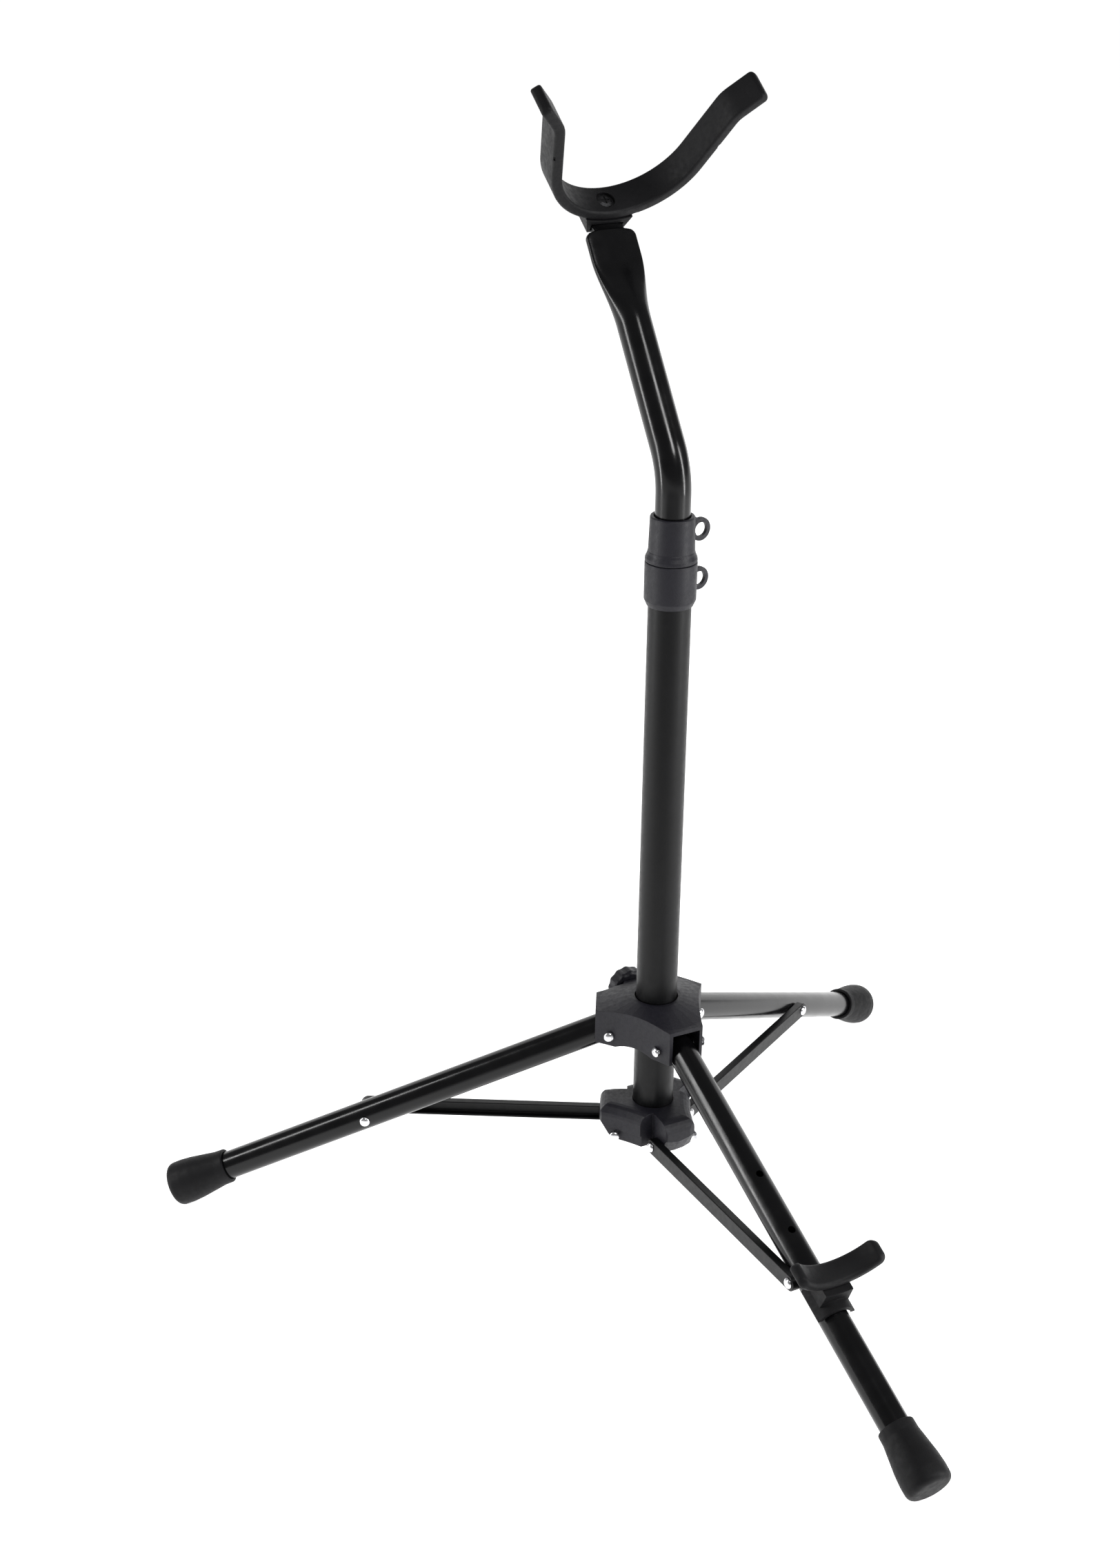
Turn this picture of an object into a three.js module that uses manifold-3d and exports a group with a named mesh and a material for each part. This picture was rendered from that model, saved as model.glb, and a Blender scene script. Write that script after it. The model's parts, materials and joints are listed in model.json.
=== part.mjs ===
// Folding saxophone stand: a tripod with a sliding hub, a telescopic column, a padded yoke for the
// bell and a small padded cradle that clips on the front leg.
// Units are millimetres, +Z is up and the floor is z = 0. While the stand is modelled, the column's
// axis is x = y = 0 and the front leg points along -Y. The last lines move the whole stand so that
// the origin is in the middle of its footprint.
//
// Each leg has a branch frame: local +X points outward from the column, local +Y to the left and
// +Z up. A strut stands on the right of its leg, which is local -Y.
import * as THREE from 'three';
import { mergeVertices } from 'three/addons/utils/BufferGeometryUtils.js';
import Module from 'manifold-3d';

const wasm = await Module();
wasm.setup();

// ---------------------------------------------------------------- driving dimensions
const GAP = 0.3;
const ROUND = 28;
const SMALL_ROUND = 12;
const ROUND_EDGE = 12;
// How far a cutter runs past the face that it opens.
const OVER = 1;

const LEG_AZIMUTHS = { front: -90, left: 150, right: 30 };
const SIDE_TURN = 60;

const COLUMN = { radius: 12.7, wall: 1.0, bottom: 67, top: 450 };
const PLUG = { depth: 18, lead: 2, leadIn: 1.5 };

const LEG = {
  radius: 9,
  wall: 1.2,
  slope: 25,
  pivotRadius: 28.7,
  pivotHeight: 140.6,
  innerOverhang: 5,
  length: 292,
  strutRivetAt: 170,
};
const FOOT = {
  start: 270,
  end: 309.5,
  lip: 0.7,
  mouth: 11.1,
  waist: 12.1,
  waistShare: 0.3,
  hip: 13.7,
  hipShare: 0.58,
  bulge: 14.2,
  bulgeShare: 0.76,
  cornerRound: 6.5,
  sides: 24,
};
const FAR = 400;

const UPPER_HUB = {
  bottom: 134,
  edgeTop: 157,
  boreTop: 162.5,
  lobeRadius: 37.5,
  lobeHalfWidth: 11.5,
  sideDistance: 26.5,
  bevel: 1.6,
  bore: 13.5,
  slotHalfWidth: 9.4,
  slotStart: 17.2,
  slotCeiling: 154,
  archRise: 3,
  archHalfWidth: 13,
  roofOverhang: 5,
  roofEdge: 1,
  roofInset: 2,
  collarWidth: 4,
  collarFlat: 2,
  collarRise: 0.5,
};
const LOWER_HUB = {
  bottom: 65.5,
  top: 88,
  lobeRadius: 33.5,
  lobeHalfWidth: 11.5,
  sideDistance: 24,
  dome: 7,
  skirtTop: 73,
  skirtInset: 0.9,
  footRadius: 29,
  shoulderHeight: 76,
  bore: 13.0,
  notchSide: 9.3,
  notchStart: 16.5,
};
const GRUB = { radius: 2.5, height: 76, from: 13, sunk: 1, socket: 1.25, socketDepth: 2.5 };
const STRUT = {
  pivotRadius: 23.8,
  innerSide: 9.6,
  thickness: 5,
  height: 10,
  flange: 1.4,
  solidEnd: 9,
};
const RIVET = {
  shank: 2,
  hole: 2.3,
  head: 3.2,
  dome: 1.7,
  shoulder: 1.9,
  shoulderRise: 1.3,
  standOff: { upperHub: 1.44, lowerHub: 1.92 },
};

const KNOB = {
  height: 151,
  radius: 12.5,
  wave: 0.35,
  lobes: 12,
  stepsPerLobe: 5,
  edgeRound: 1.8,
  from: 31,
  to: 40.5,
  screwDepth: 6.5,
  boss: 9,
  bossEnd: 30.5,
};
const CLAMP_SCREW = { radius: 3, point: 1, tip: 13.2, insert: 5, insertDepth: 1 };

const COLUMN_COLLAR = { bottom: 420.5, top: 446.9, radius: 15.3, chamfer: 4, edge: 0.5, eyeletRise: 12.5 };
const LOCK_COLLAR = {
  bottom: 447.2,
  stepAt: 453.5,
  top: 474,
  flareRadius: 15.3,
  stepRadius: 13.8,
  topRadius: 12.9,
  cavity: 12,
  lip: 10.7,
  lipThickness: 3,
  edge: 0.5,
  flareHeight: 2,
  stepHeight: 2,
  topRound: 0.9,
  eyeletRise: 15.5,
};
const COLLAR_ROUND = 30;
const COLLET = { inner: 10.6, outer: 11.7, bottom: 451.5, top: 470.6, slits: 4, slitWidth: 1.5, base: 5 };
const EYELET = { azimuth: 5, distance: 19.5, outer: 6.7, hole: 4, thickness: 2.6, lift: 1.12, webDepth: 3 };

const MAST = {
  radius: 10.3,
  bore: 9.2,
  bottom: 290,
  apex: 500.6,
  bendRadius: 48,
  tilt: 34.3,
  squeezeFrom: 88,
  squeezeTo: 128,
  bladeEnd: 144.4,
  bladeWidth: 32,
  bladeThickness: 5,
  tongueWidth: 20,
  tongueThickness: 4,
  tongueStart: -15.9,
  tongueGap: 1,
  tongueCorner: 4,
  bladeCorner: 4.5,
  trimWidth: 4,
  trimEnd: 0.2,
  squeezeStep: 5,
  boreSides: 20,
};
const BUSH = { inner: 10.6, outer: 11.4, bottom: 292, height: 22 };

const YOKE = {
  back: 88.5,
  height: 634,
  lean: 37.3,
  bandWidth: 19.6,
  bandThickness: 6.4,
  bottomRadius: 46.6,
  bottomAngle: 74.5,
  sideStraight: 35,
  kinkRadius: 15.4,
  kinkAngle: 25.4,
  flareStraight: 17.5,
  strapWidth: 14,
  strapThickness: 2.5,
  recess: 5.6,
  endRound: 1.5,
  strapInset: 5,
};
const POCKET_CORNER = 0.3;
const BOSS = {
  top: -3.5,
  bottom: -11.2,
  from: -10.5,
  to: 12,
  backWall: 2,
  topWidth: 32,
  bottomWidth: 23,
};
const YOKE_SCREW = {
  shank: 2.5,
  point: 1,
  head: 4.6,
  crown: 2.6,
  headHeight: 1.4,
  slotHalfWidth: 0.5,
  slotDepth: 0.7,
  nutAcross: 8,
  nutHeight: 4,
};

const CRADLE = {
  sleeveFrom: 179,
  sleeveTo: 200,
  sleeveInner: 10.3,
  sleeveOuter: 13,
  wallEnd: 4,
  bandAt: 183,
  bandWidth: 15,
  bandThickness: 6.5,
  bandLift: 23,
  bandRadius: 33.5,
  bandAngle: 56,
  endRound: 2.4,
  strapWidth: 9,
  strapThickness: 2,
  strapInset: 3,
  neckTopWidth: 18,
  neckBottomWidth: 20,
  neckFrom: 179,
  neckTo: 194,
  peg: 2,
  pegHead: 3.4,
  pegHeadHeight: 1.2,
  pegTip: 7.4,
  pegPoint: 0.6,
  pegHoles: [103, 143, 183],
};

// ---------------------------------------------------------------- materials
function finish(color, roughness, metalness) {
  return new THREE.MeshStandardMaterial({ color, roughness, metalness });
}

const glossPaint = () => finish(0x101012, 0.25, 0.3);
const satinPaint = () => finish(0x1b1b1d, 0.45, 0.3);
const darkPlastic = () => finish(0x222226, 0.55, 0);
const rubber = () => finish(0x2a2a2c, 0.85, 0);
const brightSteel = () => finish(0xd0d0d4, 0.25, 1);
const plainSteel = () => finish(0x8a8a8e, 0.4, 1);
const brass = () => finish(0xb08d4a, 0.4, 1);

// ---------------------------------------------------------------- geometry helpers
const radians = THREE.MathUtils.degToRad;

function manifoldOf(geometry) {
  const bare = geometry.clone();
  bare.deleteAttribute('normal');
  bare.deleteAttribute('uv');
  const merged = mergeVertices(bare, 1e-4);
  return new wasm.Manifold(new wasm.Mesh({
    numProp: 3,
    vertProperties: new Float32Array(merged.attributes.position.array),
    triVerts: new Uint32Array(merged.index.array),
  }));
}

function geometryOf(solid) {
  const mesh = solid.getMesh();
  const geometry = new THREE.BufferGeometry();
  geometry.setAttribute('position', new THREE.BufferAttribute(mesh.vertProperties, 3));
  geometry.setIndex(new THREE.BufferAttribute(mesh.triVerts, 1));
  return geometry;
}

function cut(geometry, ...tools) {
  let solid = manifoldOf(geometry);
  for (const tool of tools) {
    solid = solid.subtract(manifoldOf(tool));
  }
  return geometryOf(solid);
}

function join(geometry, ...others) {
  let solid = manifoldOf(geometry);
  for (const other of others) {
    solid = solid.add(manifoldOf(other));
  }
  return geometryOf(solid);
}

function common(geometry, other) {
  return geometryOf(manifoldOf(geometry).intersect(manifoldOf(other)));
}

// A solid of revolution about Z from [radius, z] points that run counterclockwise.
function turned(points, segments = ROUND) {
  const profile = points.map(([radius, z]) => new THREE.Vector2(radius, z));
  const geometry = new THREE.LatheGeometry(profile, segments);
  geometry.rotateX(Math.PI / 2);
  return geometry;
}

// A solid bar between two heights.
function rod(radius, low, high, segments = ROUND) {
  return turned([[0, low], [radius, low], [radius, high], [0, high]], segments);
}

// A tube between two heights.
function pipe(outer, inner, low, high, segments = ROUND) {
  return turned([[inner, low], [outer, low], [outer, high], [inner, high], [inner, low]], segments);
}

// Turns a solid that was made along +Z so that it runs along +X.
function alongX(geometry) {
  return geometry.rotateY(Math.PI / 2);
}

// Turns a solid that was made along +Z so that it runs along +Y.
function alongY(geometry) {
  return geometry.rotateX(-Math.PI / 2);
}

function block(x0, x1, y0, y1, z0, z1) {
  const geometry = new THREE.BoxGeometry(x1 - x0, y1 - y0, z1 - z0);
  return geometry.translate((x0 + x1) / 2, (y0 + y1) / 2, (z0 + z1) / 2);
}

function outline(points) {
  return new THREE.Shape(points.map(([x, y]) => new THREE.Vector2(x, y)));
}

// A flat outline made into a plate between two heights.
function plate(shape, low, high, curveSegments = 8) {
  const settings = { depth: high - low, bevelEnabled: false, curveSegments };
  return new THREE.ExtrudeGeometry(shape, settings).translate(0, 0, low);
}

function part(name, geometry, material) {
  const mesh = new THREE.Mesh(geometry, material);
  mesh.name = name;
  return mesh;
}

function branch(azimuth, ...children) {
  const group = new THREE.Group();
  group.rotation.z = radians(azimuth);
  group.add(...children);
  return group;
}

// ---------------------------------------------------------------- column
function columnTube() {
  const geometry = pipe(COLUMN.radius, COLUMN.radius - COLUMN.wall, COLUMN.bottom, COLUMN.top);
  return part('column_tube', geometry, satinPaint());
}

function columnEndPlug() {
  const plugRadius = COLUMN.radius - COLUMN.wall - GAP;
  const flangeLow = LOWER_HUB.bottom;
  const flangeHigh = COLUMN.bottom - GAP;
  const plugTop = COLUMN.bottom + PLUG.depth;
  const geometry = turned([
    [0, flangeLow],
    [COLUMN.radius - GAP, flangeLow],
    [COLUMN.radius - GAP, flangeHigh],
    [plugRadius, flangeHigh],
    [plugRadius, plugTop - PLUG.lead],
    [plugRadius - PLUG.leadIn, plugTop],
    [0, plugTop],
  ]);
  return part('column_end_plug', geometry, darkPlastic());
}

// ---------------------------------------------------------------- hubs
// Plan of a hub: a short face across each leg and slightly hollow long sides between them.
function hubPlan(hub) {
  const shape = new THREE.Shape();
  const azimuths = [LEG_AZIMUTHS.front, LEG_AZIMUTHS.right, LEG_AZIMUTHS.left];
  const corner = (azimuth, side) => new THREE.Vector2(hub.lobeRadius, side * hub.lobeHalfWidth)
    .rotateAround(new THREE.Vector2(), radians(azimuth));
  azimuths.forEach((azimuth, index) => {
    const next = azimuths[(index + 1) % azimuths.length];
    const start = corner(azimuth, -1);
    const end = corner(azimuth, 1);
    const target = corner(next, -1);
    const middle = new THREE.Vector2(hub.sideDistance, 0)
      .rotateAround(new THREE.Vector2(), radians(azimuth + SIDE_TURN));
    const control = middle.multiplyScalar(2).sub(end.clone().add(target).multiplyScalar(0.5));
    if (index === 0) {
      shape.moveTo(start.x, start.y);
    }
    shape.lineTo(end.x, end.y);
    shape.quadraticCurveTo(control.x, control.y, target.x, target.y);
  });
  return shape;
}

// A hub blank whose upper edges are rounded off by `round` and whose floor is flat.
function hubBlank(hub, top, round, steps) {
  const settings = {
    depth: top - hub.bottom,
    bevelEnabled: true,
    bevelThickness: round,
    bevelSize: round,
    bevelOffset: -round,
    bevelSegments: steps,
    curveSegments: 8,
  };
  const blank = new THREE.ExtrudeGeometry(hubPlan(hub), settings).translate(0, 0, hub.bottom - round);
  const reach = hub.lobeRadius * 2;
  return common(blank, block(-reach, reach, -reach, reach, hub.bottom, top + round));
}

function rivetHole(x, z, from, to) {
  return alongY(rod(RIVET.hole, from, to, SMALL_ROUND)).translate(x, 0, z);
}

// A shallow arch under the long side that faces an azimuth.
function sideArch(hub, azimuth) {
  const radius = (hub.archHalfWidth ** 2 + hub.archRise ** 2) / (2 * hub.archRise);
  const arch = alongX(rod(radius, hub.bore + 1, hub.lobeRadius, 2 * ROUND));
  return arch.translate(0, 0, hub.bottom + hub.archRise - radius).rotateZ(radians(azimuth));
}

function upperHub() {
  const hub = UPPER_HUB;
  const roof = turned([
    [0, hub.bottom],
    [hub.lobeRadius + hub.roofOverhang, hub.bottom],
    [hub.lobeRadius + hub.roofOverhang, hub.edgeTop - hub.roofEdge],
    [hub.lobeRadius - hub.roofInset, hub.edgeTop],
    [hub.bore + hub.collarWidth, hub.boreTop - hub.collarRise],
    [hub.bore + hub.collarFlat, hub.boreTop],
    [0, hub.boreTop],
  ], ROUND);
  const knobBoss = alongY(rod(KNOB.boss, hub.bore + hub.collarWidth, KNOB.bossEnd, ROUND))
    .translate(0, 0, KNOB.height);
  const cuts = [rod(hub.bore, 0, hub.boreTop + OVER)];
  for (const azimuth of Object.values(LEG_AZIMUTHS)) {
    const half = hub.slotHalfWidth;
    const slot = block(hub.slotStart, hub.lobeRadius + OVER, -half, half, hub.bottom - OVER, hub.slotCeiling);
    const side = hub.lobeHalfWidth * 2;
    const hole = rivetHole(LEG.pivotRadius, LEG.pivotHeight, -side, side);
    cuts.push(slot.rotateZ(radians(azimuth)), hole.rotateZ(radians(azimuth)));
  }
  const insertFit = CLAMP_SCREW.insert + GAP;
  cuts.push(alongY(rod(insertFit, 0, KNOB.bossEnd + OVER, ROUND)).translate(0, 0, KNOB.height));
  cuts.push(...Object.values(LEG_AZIMUTHS).map((azimuth) => sideArch(hub, azimuth + SIDE_TURN)));
  const shaped = common(hubBlank(hub, hub.boreTop, hub.bevel, 2), roof);
  const geometry = cut(join(shaped, common(knobBoss, roof)), ...cuts);
  return part('upper_hub', geometry, darkPlastic());
}

// The threaded insert that the clamp screw turns in, moulded in the hub's rear wall.
function clampInsert() {
  const inner = CLAMP_SCREW.radius + GAP;
  const length = KNOB.bossEnd - CLAMP_SCREW.insertDepth - UPPER_HUB.bore - GAP * 2;
  const ring = pipe(CLAMP_SCREW.insert, inner, 0, length, SMALL_ROUND);
  const geometry = alongY(ring).translate(0, UPPER_HUB.bore + GAP * 2, KNOB.height);
  return part('hub_clamp_insert', geometry, brass());
}

function clampScrew() {
  const length = KNOB.from + KNOB.screwDepth - GAP * 2 - CLAMP_SCREW.tip;
  const screw = turned([
    [0, 0],
    [CLAMP_SCREW.radius - CLAMP_SCREW.point, 0],
    [CLAMP_SCREW.radius, CLAMP_SCREW.point],
    [CLAMP_SCREW.radius, length],
    [0, length],
  ], SMALL_ROUND);
  const geometry = alongY(screw).translate(0, CLAMP_SCREW.tip, KNOB.height);
  return part('hub_clamp_screw', geometry, plainSteel());
}

// A lobed hand knob with a blind hole for its screw.
function hubKnob() {
  const rim = new THREE.Shape();
  const steps = KNOB.lobes * KNOB.stepsPerLobe;
  for (let step = 0; step < steps; step += 1) {
    const angle = (step / steps) * Math.PI * 2;
    const radius = KNOB.radius - KNOB.wave + KNOB.wave * Math.cos(angle * KNOB.lobes);
    const point = [radius * Math.cos(angle), radius * Math.sin(angle)];
    if (step === 0) {
      rim.moveTo(...point);
    } else {
      rim.lineTo(...point);
    }
  }
  rim.closePath();
  const settings = {
    depth: KNOB.to - KNOB.from - 2 * KNOB.edgeRound,
    bevelEnabled: true,
    bevelThickness: KNOB.edgeRound,
    bevelSize: KNOB.edgeRound,
    bevelOffset: -KNOB.edgeRound,
    bevelSegments: 2,
  };
  const head = new THREE.ExtrudeGeometry(rim, settings).translate(0, 0, KNOB.edgeRound);
  const hole = rod(CLAMP_SCREW.radius + GAP, -OVER, KNOB.screwDepth, SMALL_ROUND);
  const geometry = alongY(cut(head, hole)).translate(0, KNOB.from, KNOB.height);
  return part('hub_knob', geometry, darkPlastic());
}

function lowerHub() {
  const hub = LOWER_HUB;
  const upper = hubBlank({ ...hub, bottom: hub.skirtTop }, hub.top, hub.dome, 5);
  const skirtPlan = {
    ...hub,
    lobeRadius: hub.lobeRadius - hub.skirtInset,
    lobeHalfWidth: hub.lobeHalfWidth - hub.skirtInset,
    sideDistance: hub.sideDistance - hub.skirtInset,
  };
  const skirt = plate(hubPlan(skirtPlan), hub.bottom, hub.skirtTop + OVER);
  const envelope = turned([
    [0, hub.bottom],
    [hub.footRadius, hub.bottom],
    [hub.lobeRadius + OVER, hub.shoulderHeight],
    [hub.lobeRadius + OVER, hub.top],
    [0, hub.top],
  ]);
  const cuts = [rod(hub.bore, 0, hub.top + OVER)];
  for (const azimuth of Object.values(LEG_AZIMUTHS)) {
    const notch = block(
      hub.notchStart,
      hub.lobeRadius + OVER,
      -hub.lobeHalfWidth * 2,
      -hub.notchSide,
      hub.bottom - OVER,
      hub.top + OVER,
    );
    const side = hub.lobeHalfWidth * 2;
    const hole = rivetHole(STRUT.pivotRadius, strutHeight, -side, side);
    cuts.push(notch.rotateZ(radians(azimuth)), hole.rotateZ(radians(azimuth)));
  }
  const screwHole = alongY(rod(GRUB.radius + GAP, 0, hub.lobeRadius, SMALL_ROUND));
  cuts.push(screwHole.translate(0, 0, GRUB.height));
  return part('lower_hub', cut(common(join(upper, skirt), envelope), ...cuts), darkPlastic());
}

function lowerHubScrew() {
  const length = LOWER_HUB.sideDistance - GRUB.from - GRUB.sunk;
  const screw = rod(GRUB.radius, 0, length, SMALL_ROUND);
  const socket = rod(GRUB.socket, length - GRUB.socketDepth, length + OVER, 6);
  const geometry = alongY(cut(screw, socket)).translate(0, GRUB.from, GRUB.height);
  return part('lower_hub_screw', geometry, plainSteel());
}

// ---------------------------------------------------------------- legs and struts
// The strut is level when the stand is open, so its pivot on the lower hub is as high as the rivet
// that joins it to the leg.
const slope = radians(LEG.slope);
const strutHeight = LEG.pivotHeight - LEG.strutRivetAt * Math.sin(slope);
const strutOuterRadius = LEG.pivotRadius + LEG.strutRivetAt * Math.cos(slope);
const strutOuterSide = STRUT.innerSide + STRUT.thickness;

// A frame whose +X runs down the leg from its pivot, inside a branch.
function legFrame(...children) {
  const group = new THREE.Group();
  group.position.set(LEG.pivotRadius, 0, LEG.pivotHeight);
  group.rotation.y = slope;
  group.add(...children);
  return group;
}

// The cradle's peg stands in one of these holes in the upper side of the front leg.
function pegHole(along) {
  return rod(CRADLE.peg + GAP, 0, LEG.radius + OVER, SMALL_ROUND).translate(along, 0, 0);
}

function leg(name) {
  const tube = alongX(pipe(LEG.radius, LEG.radius - LEG.wall, -LEG.innerOverhang, LEG.length));
  const reach = LEG.radius + OVER;
  const geometry = cut(
    tube,
    rivetHole(0, 0, -reach, reach),
    rivetHole(LEG.strutRivetAt, 0, -reach, reach),
    ...(name === 'front' ? CRADLE.pegHoles.map(pegHole) : []),
  );
  return part(`leg_${name}`, geometry, glossPaint());
}

// The foot is a thick rubber cap, cut off level where it stands on the floor.
function foot(name) {
  const inner = LEG.radius + GAP;
  const floor = LEG.length + GAP;
  const f = FOOT;
  const length = f.end - f.start;
  const capRound = [];
  for (let step = 0; step <= 4; step += 1) {
    const angle = (step / 4) * (Math.PI / 2);
    capRound.push([
      f.bulge - f.cornerRound * (1 - Math.cos(angle)),
      f.end - f.cornerRound + f.cornerRound * Math.sin(angle),
    ]);
  }
  const cap = alongX(turned([
    [inner, f.start],
    [f.mouth - f.lip, f.start],
    [f.mouth, f.start + f.lip],
    [f.waist, f.start + length * f.waistShare],
    [f.hip, f.start + length * f.hipShare],
    [f.bulge, f.start + length * f.bulgeShare],
    ...capRound,
    [0, f.end],
    [0, floor],
    [inner, floor],
    [inner, f.start],
  ], f.sides));
  const underFloor = block(-FAR, FAR, -FAR, FAR, -FAR, 0)
    .translate(-LEG.pivotRadius, 0, -LEG.pivotHeight)
    .applyMatrix4(new THREE.Matrix4().makeRotationY(-slope));
  return part(`foot_${name}`, cut(cap, underFloor), rubber());
}

// A rivet along local Y with a domed head at each end that has one.
function rivet(name, from, to, headLow, headHigh) {
  const r = RIVET;
  const points = [[0, headLow ? from - r.dome : from]];
  if (headLow) {
    points.push([r.shoulder, from - r.shoulderRise], [r.head, from], [r.shank, from]);
  } else {
    points.push([r.shank, from]);
  }
  if (headHigh) {
    points.push([r.shank, to], [r.head, to], [r.shoulder, to + r.shoulderRise], [0, to + r.dome]);
  } else {
    points.push([r.shank, to], [0, to]);
  }
  return part(name, alongY(turned(points, SMALL_ROUND)), brightSteel());
}

// Where a hub's side wall stands at a rivet's radius, measured from the branch's middle plane.
function hubSide(hub, radius) {
  const plan = hubPlan(hub).getPoints(24);
  let side = 0;
  const turn = radians(-LEG_AZIMUTHS.right);
  for (let index = 0; index < plan.length; index += 1) {
    const a = plan[index].clone().rotateAround(new THREE.Vector2(), turn);
    const b = plan[(index + 1) % plan.length].clone().rotateAround(new THREE.Vector2(), turn);
    const crosses = (a.x - radius) * (b.x - radius) < 0 && a.y > 0;
    if (crosses && a.x > 0) {
      side = Math.max(side, a.y + (b.y - a.y) * (radius - a.x) / (b.x - a.x));
    }
  }
  return side;
}

function legPivotRivet(name) {
  const side = hubSide(UPPER_HUB, LEG.pivotRadius) + RIVET.standOff.upperHub;
  const mesh = rivet(`leg_pivot_rivet_${name}`, -side, side, true, true);
  mesh.position.set(LEG.pivotRadius, 0, LEG.pivotHeight);
  return mesh;
}

function strutInnerRivet(name) {
  const left = hubSide(LOWER_HUB, STRUT.pivotRadius) + RIVET.standOff.lowerHub;
  const mesh = rivet(`strut_inner_rivet_${name}`, -strutOuterSide - GAP, left, true, true);
  mesh.position.set(STRUT.pivotRadius, 0, strutHeight);
  return mesh;
}

// The outer rivet is open where the strut meets the leg: one half stays in the leg, and the other
// half, with the outer head, stays in the strut.
const rivetSplit = (LEG.radius + STRUT.innerSide) / 2;

function legRivet(name) {
  const mesh = rivet(`leg_rivet_${name}`, -rivetSplit + GAP / 2, LEG.radius + GAP, false, true);
  mesh.position.set(LEG.strutRivetAt, 0, 0);
  return mesh;
}

function strutOuterRivet(name) {
  const mesh = rivet(`strut_outer_rivet_${name}`, -strutOuterSide - GAP, -rivetSplit - GAP / 2, true, false);
  mesh.position.set(strutOuterRadius, 0, strutHeight);
  return mesh;
}

// A pressed channel with round ends: its web faces away from the leg.
function strut(name) {
  const half = STRUT.height / 2;
  const length = strutOuterRadius - STRUT.pivotRadius;
  const side = new THREE.Shape();
  side.moveTo(0, -half);
  side.lineTo(length, -half);
  side.absarc(length, 0, half, -Math.PI / 2, Math.PI / 2, false);
  side.lineTo(0, half);
  side.absarc(0, 0, half, Math.PI / 2, Math.PI * 1.5, false);
  const bar = plate(side, 0, STRUT.thickness, 8);
  const hollow = block(
    STRUT.solidEnd,
    length - STRUT.solidEnd,
    -half + STRUT.flange,
    half - STRUT.flange,
    -OVER,
    STRUT.thickness - STRUT.flange,
  );
  const hole = rod(RIVET.hole, -OVER, STRUT.thickness + OVER, SMALL_ROUND);
  const geometry = cut(bar, hollow, hole, hole.clone().translate(length, 0, 0));
  geometry.rotateX(Math.PI / 2);
  const mesh = part(`strut_${name}`, geometry, satinPaint());
  mesh.position.set(STRUT.pivotRadius, -STRUT.innerSide, strutHeight);
  return mesh;
}

function legBranches() {
  return Object.entries(LEG_AZIMUTHS).map(([name, azimuth]) => branch(
    azimuth,
    legFrame(leg(name), foot(name), legRivet(name)),
    legPivotRivet(name),
    strut(name),
    strutInnerRivet(name),
    strutOuterRivet(name),
  ));
}

// ---------------------------------------------------------------- collars
// A flat ring that stands out from a collar, with a web back to it.
function eyelet(height, innerReach) {
  const e = EYELET;
  const ring = new THREE.Shape();
  ring.absellipse(e.distance, 0, e.outer, e.outer, 0, Math.PI * 2, false, 0);
  const web = outline([
    [innerReach, -e.webDepth],
    [e.distance, -e.webDepth],
    [e.distance, e.outer],
    [innerReach, e.outer + e.webDepth],
  ]);
  const hole = new THREE.Shape();
  hole.absellipse(e.distance, 0, e.hole, e.hole * e.lift, 0, Math.PI * 2, false, 0);
  const half = e.thickness / 2;
  const body = join(plate(ring, -half, half, ROUND_EDGE), plate(web, -half, half));
  const solid = cut(body, plate(hole, -half - OVER, half + OVER, ROUND_EDGE));
  return solid.rotateX(Math.PI / 2).rotateZ(radians(e.azimuth)).translate(0, 0, height);
}

function columnCollar() {
  const c = COLUMN_COLLAR;
  const inner = COLUMN.radius + GAP;
  const wall = turned([
    [inner, c.bottom],
    [inner + c.edge, c.bottom],
    [c.radius, c.bottom + c.chamfer],
    [c.radius, c.top - c.edge],
    [c.radius - c.edge, c.top],
    [inner, c.top],
    [inner, c.bottom],
  ], COLLAR_ROUND);
  const lug = eyelet(c.bottom + c.eyeletRise, inner + c.edge);
  return part('column_collar', join(wall, lug), darkPlastic());
}

function lockCollar() {
  const c = LOCK_COLLAR;
  const entry = COLUMN.radius + GAP;
  const entryTop = COLUMN.top + OVER;
  const wall = turned([
    [entry, c.bottom],
    [c.flareRadius - c.edge, c.bottom],
    [c.flareRadius, c.bottom + c.edge],
    [c.flareRadius, c.bottom + c.flareHeight],
    [c.stepRadius + c.edge, c.stepAt - c.stepHeight],
    [c.stepRadius, c.stepAt],
    [c.topRadius, c.top - c.topRound],
    [c.topRadius - c.topRound, c.top],
    [c.lip, c.top],
    [c.lip, c.top - c.lipThickness],
    [c.cavity, c.top - c.lipThickness],
    [c.cavity, entryTop],
    [entry, entryTop],
    [entry, c.bottom],
  ], COLLAR_ROUND);
  const lug = eyelet(c.bottom + c.eyeletRise, c.cavity + c.edge);
  return part('lock_collar', join(wall, lug), darkPlastic());
}

function collet() {
  const c = COLLET;
  const slits = [];
  for (let index = 0; index < c.slits; index += 1) {
    const half = c.slitWidth / 2;
    const slit = block(c.inner - OVER, c.outer + OVER, -half, half, c.bottom + c.base, c.top + OVER);
    slits.push(slit.rotateZ((index / c.slits) * Math.PI * 2));
  }
  return part('collet', cut(pipe(c.outer, c.inner, c.bottom, c.top), ...slits), darkPlastic());
}

// ---------------------------------------------------------------- upper tube
const tilt = radians(MAST.tilt);
const mastDirection = new THREE.Vector3(0, Math.sin(tilt), Math.cos(tilt));

const bendTangent = MAST.bendRadius * Math.tan(tilt / 2);
const bendStart = MAST.apex - bendTangent;
const bendLength = MAST.bendRadius * tilt;

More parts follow.
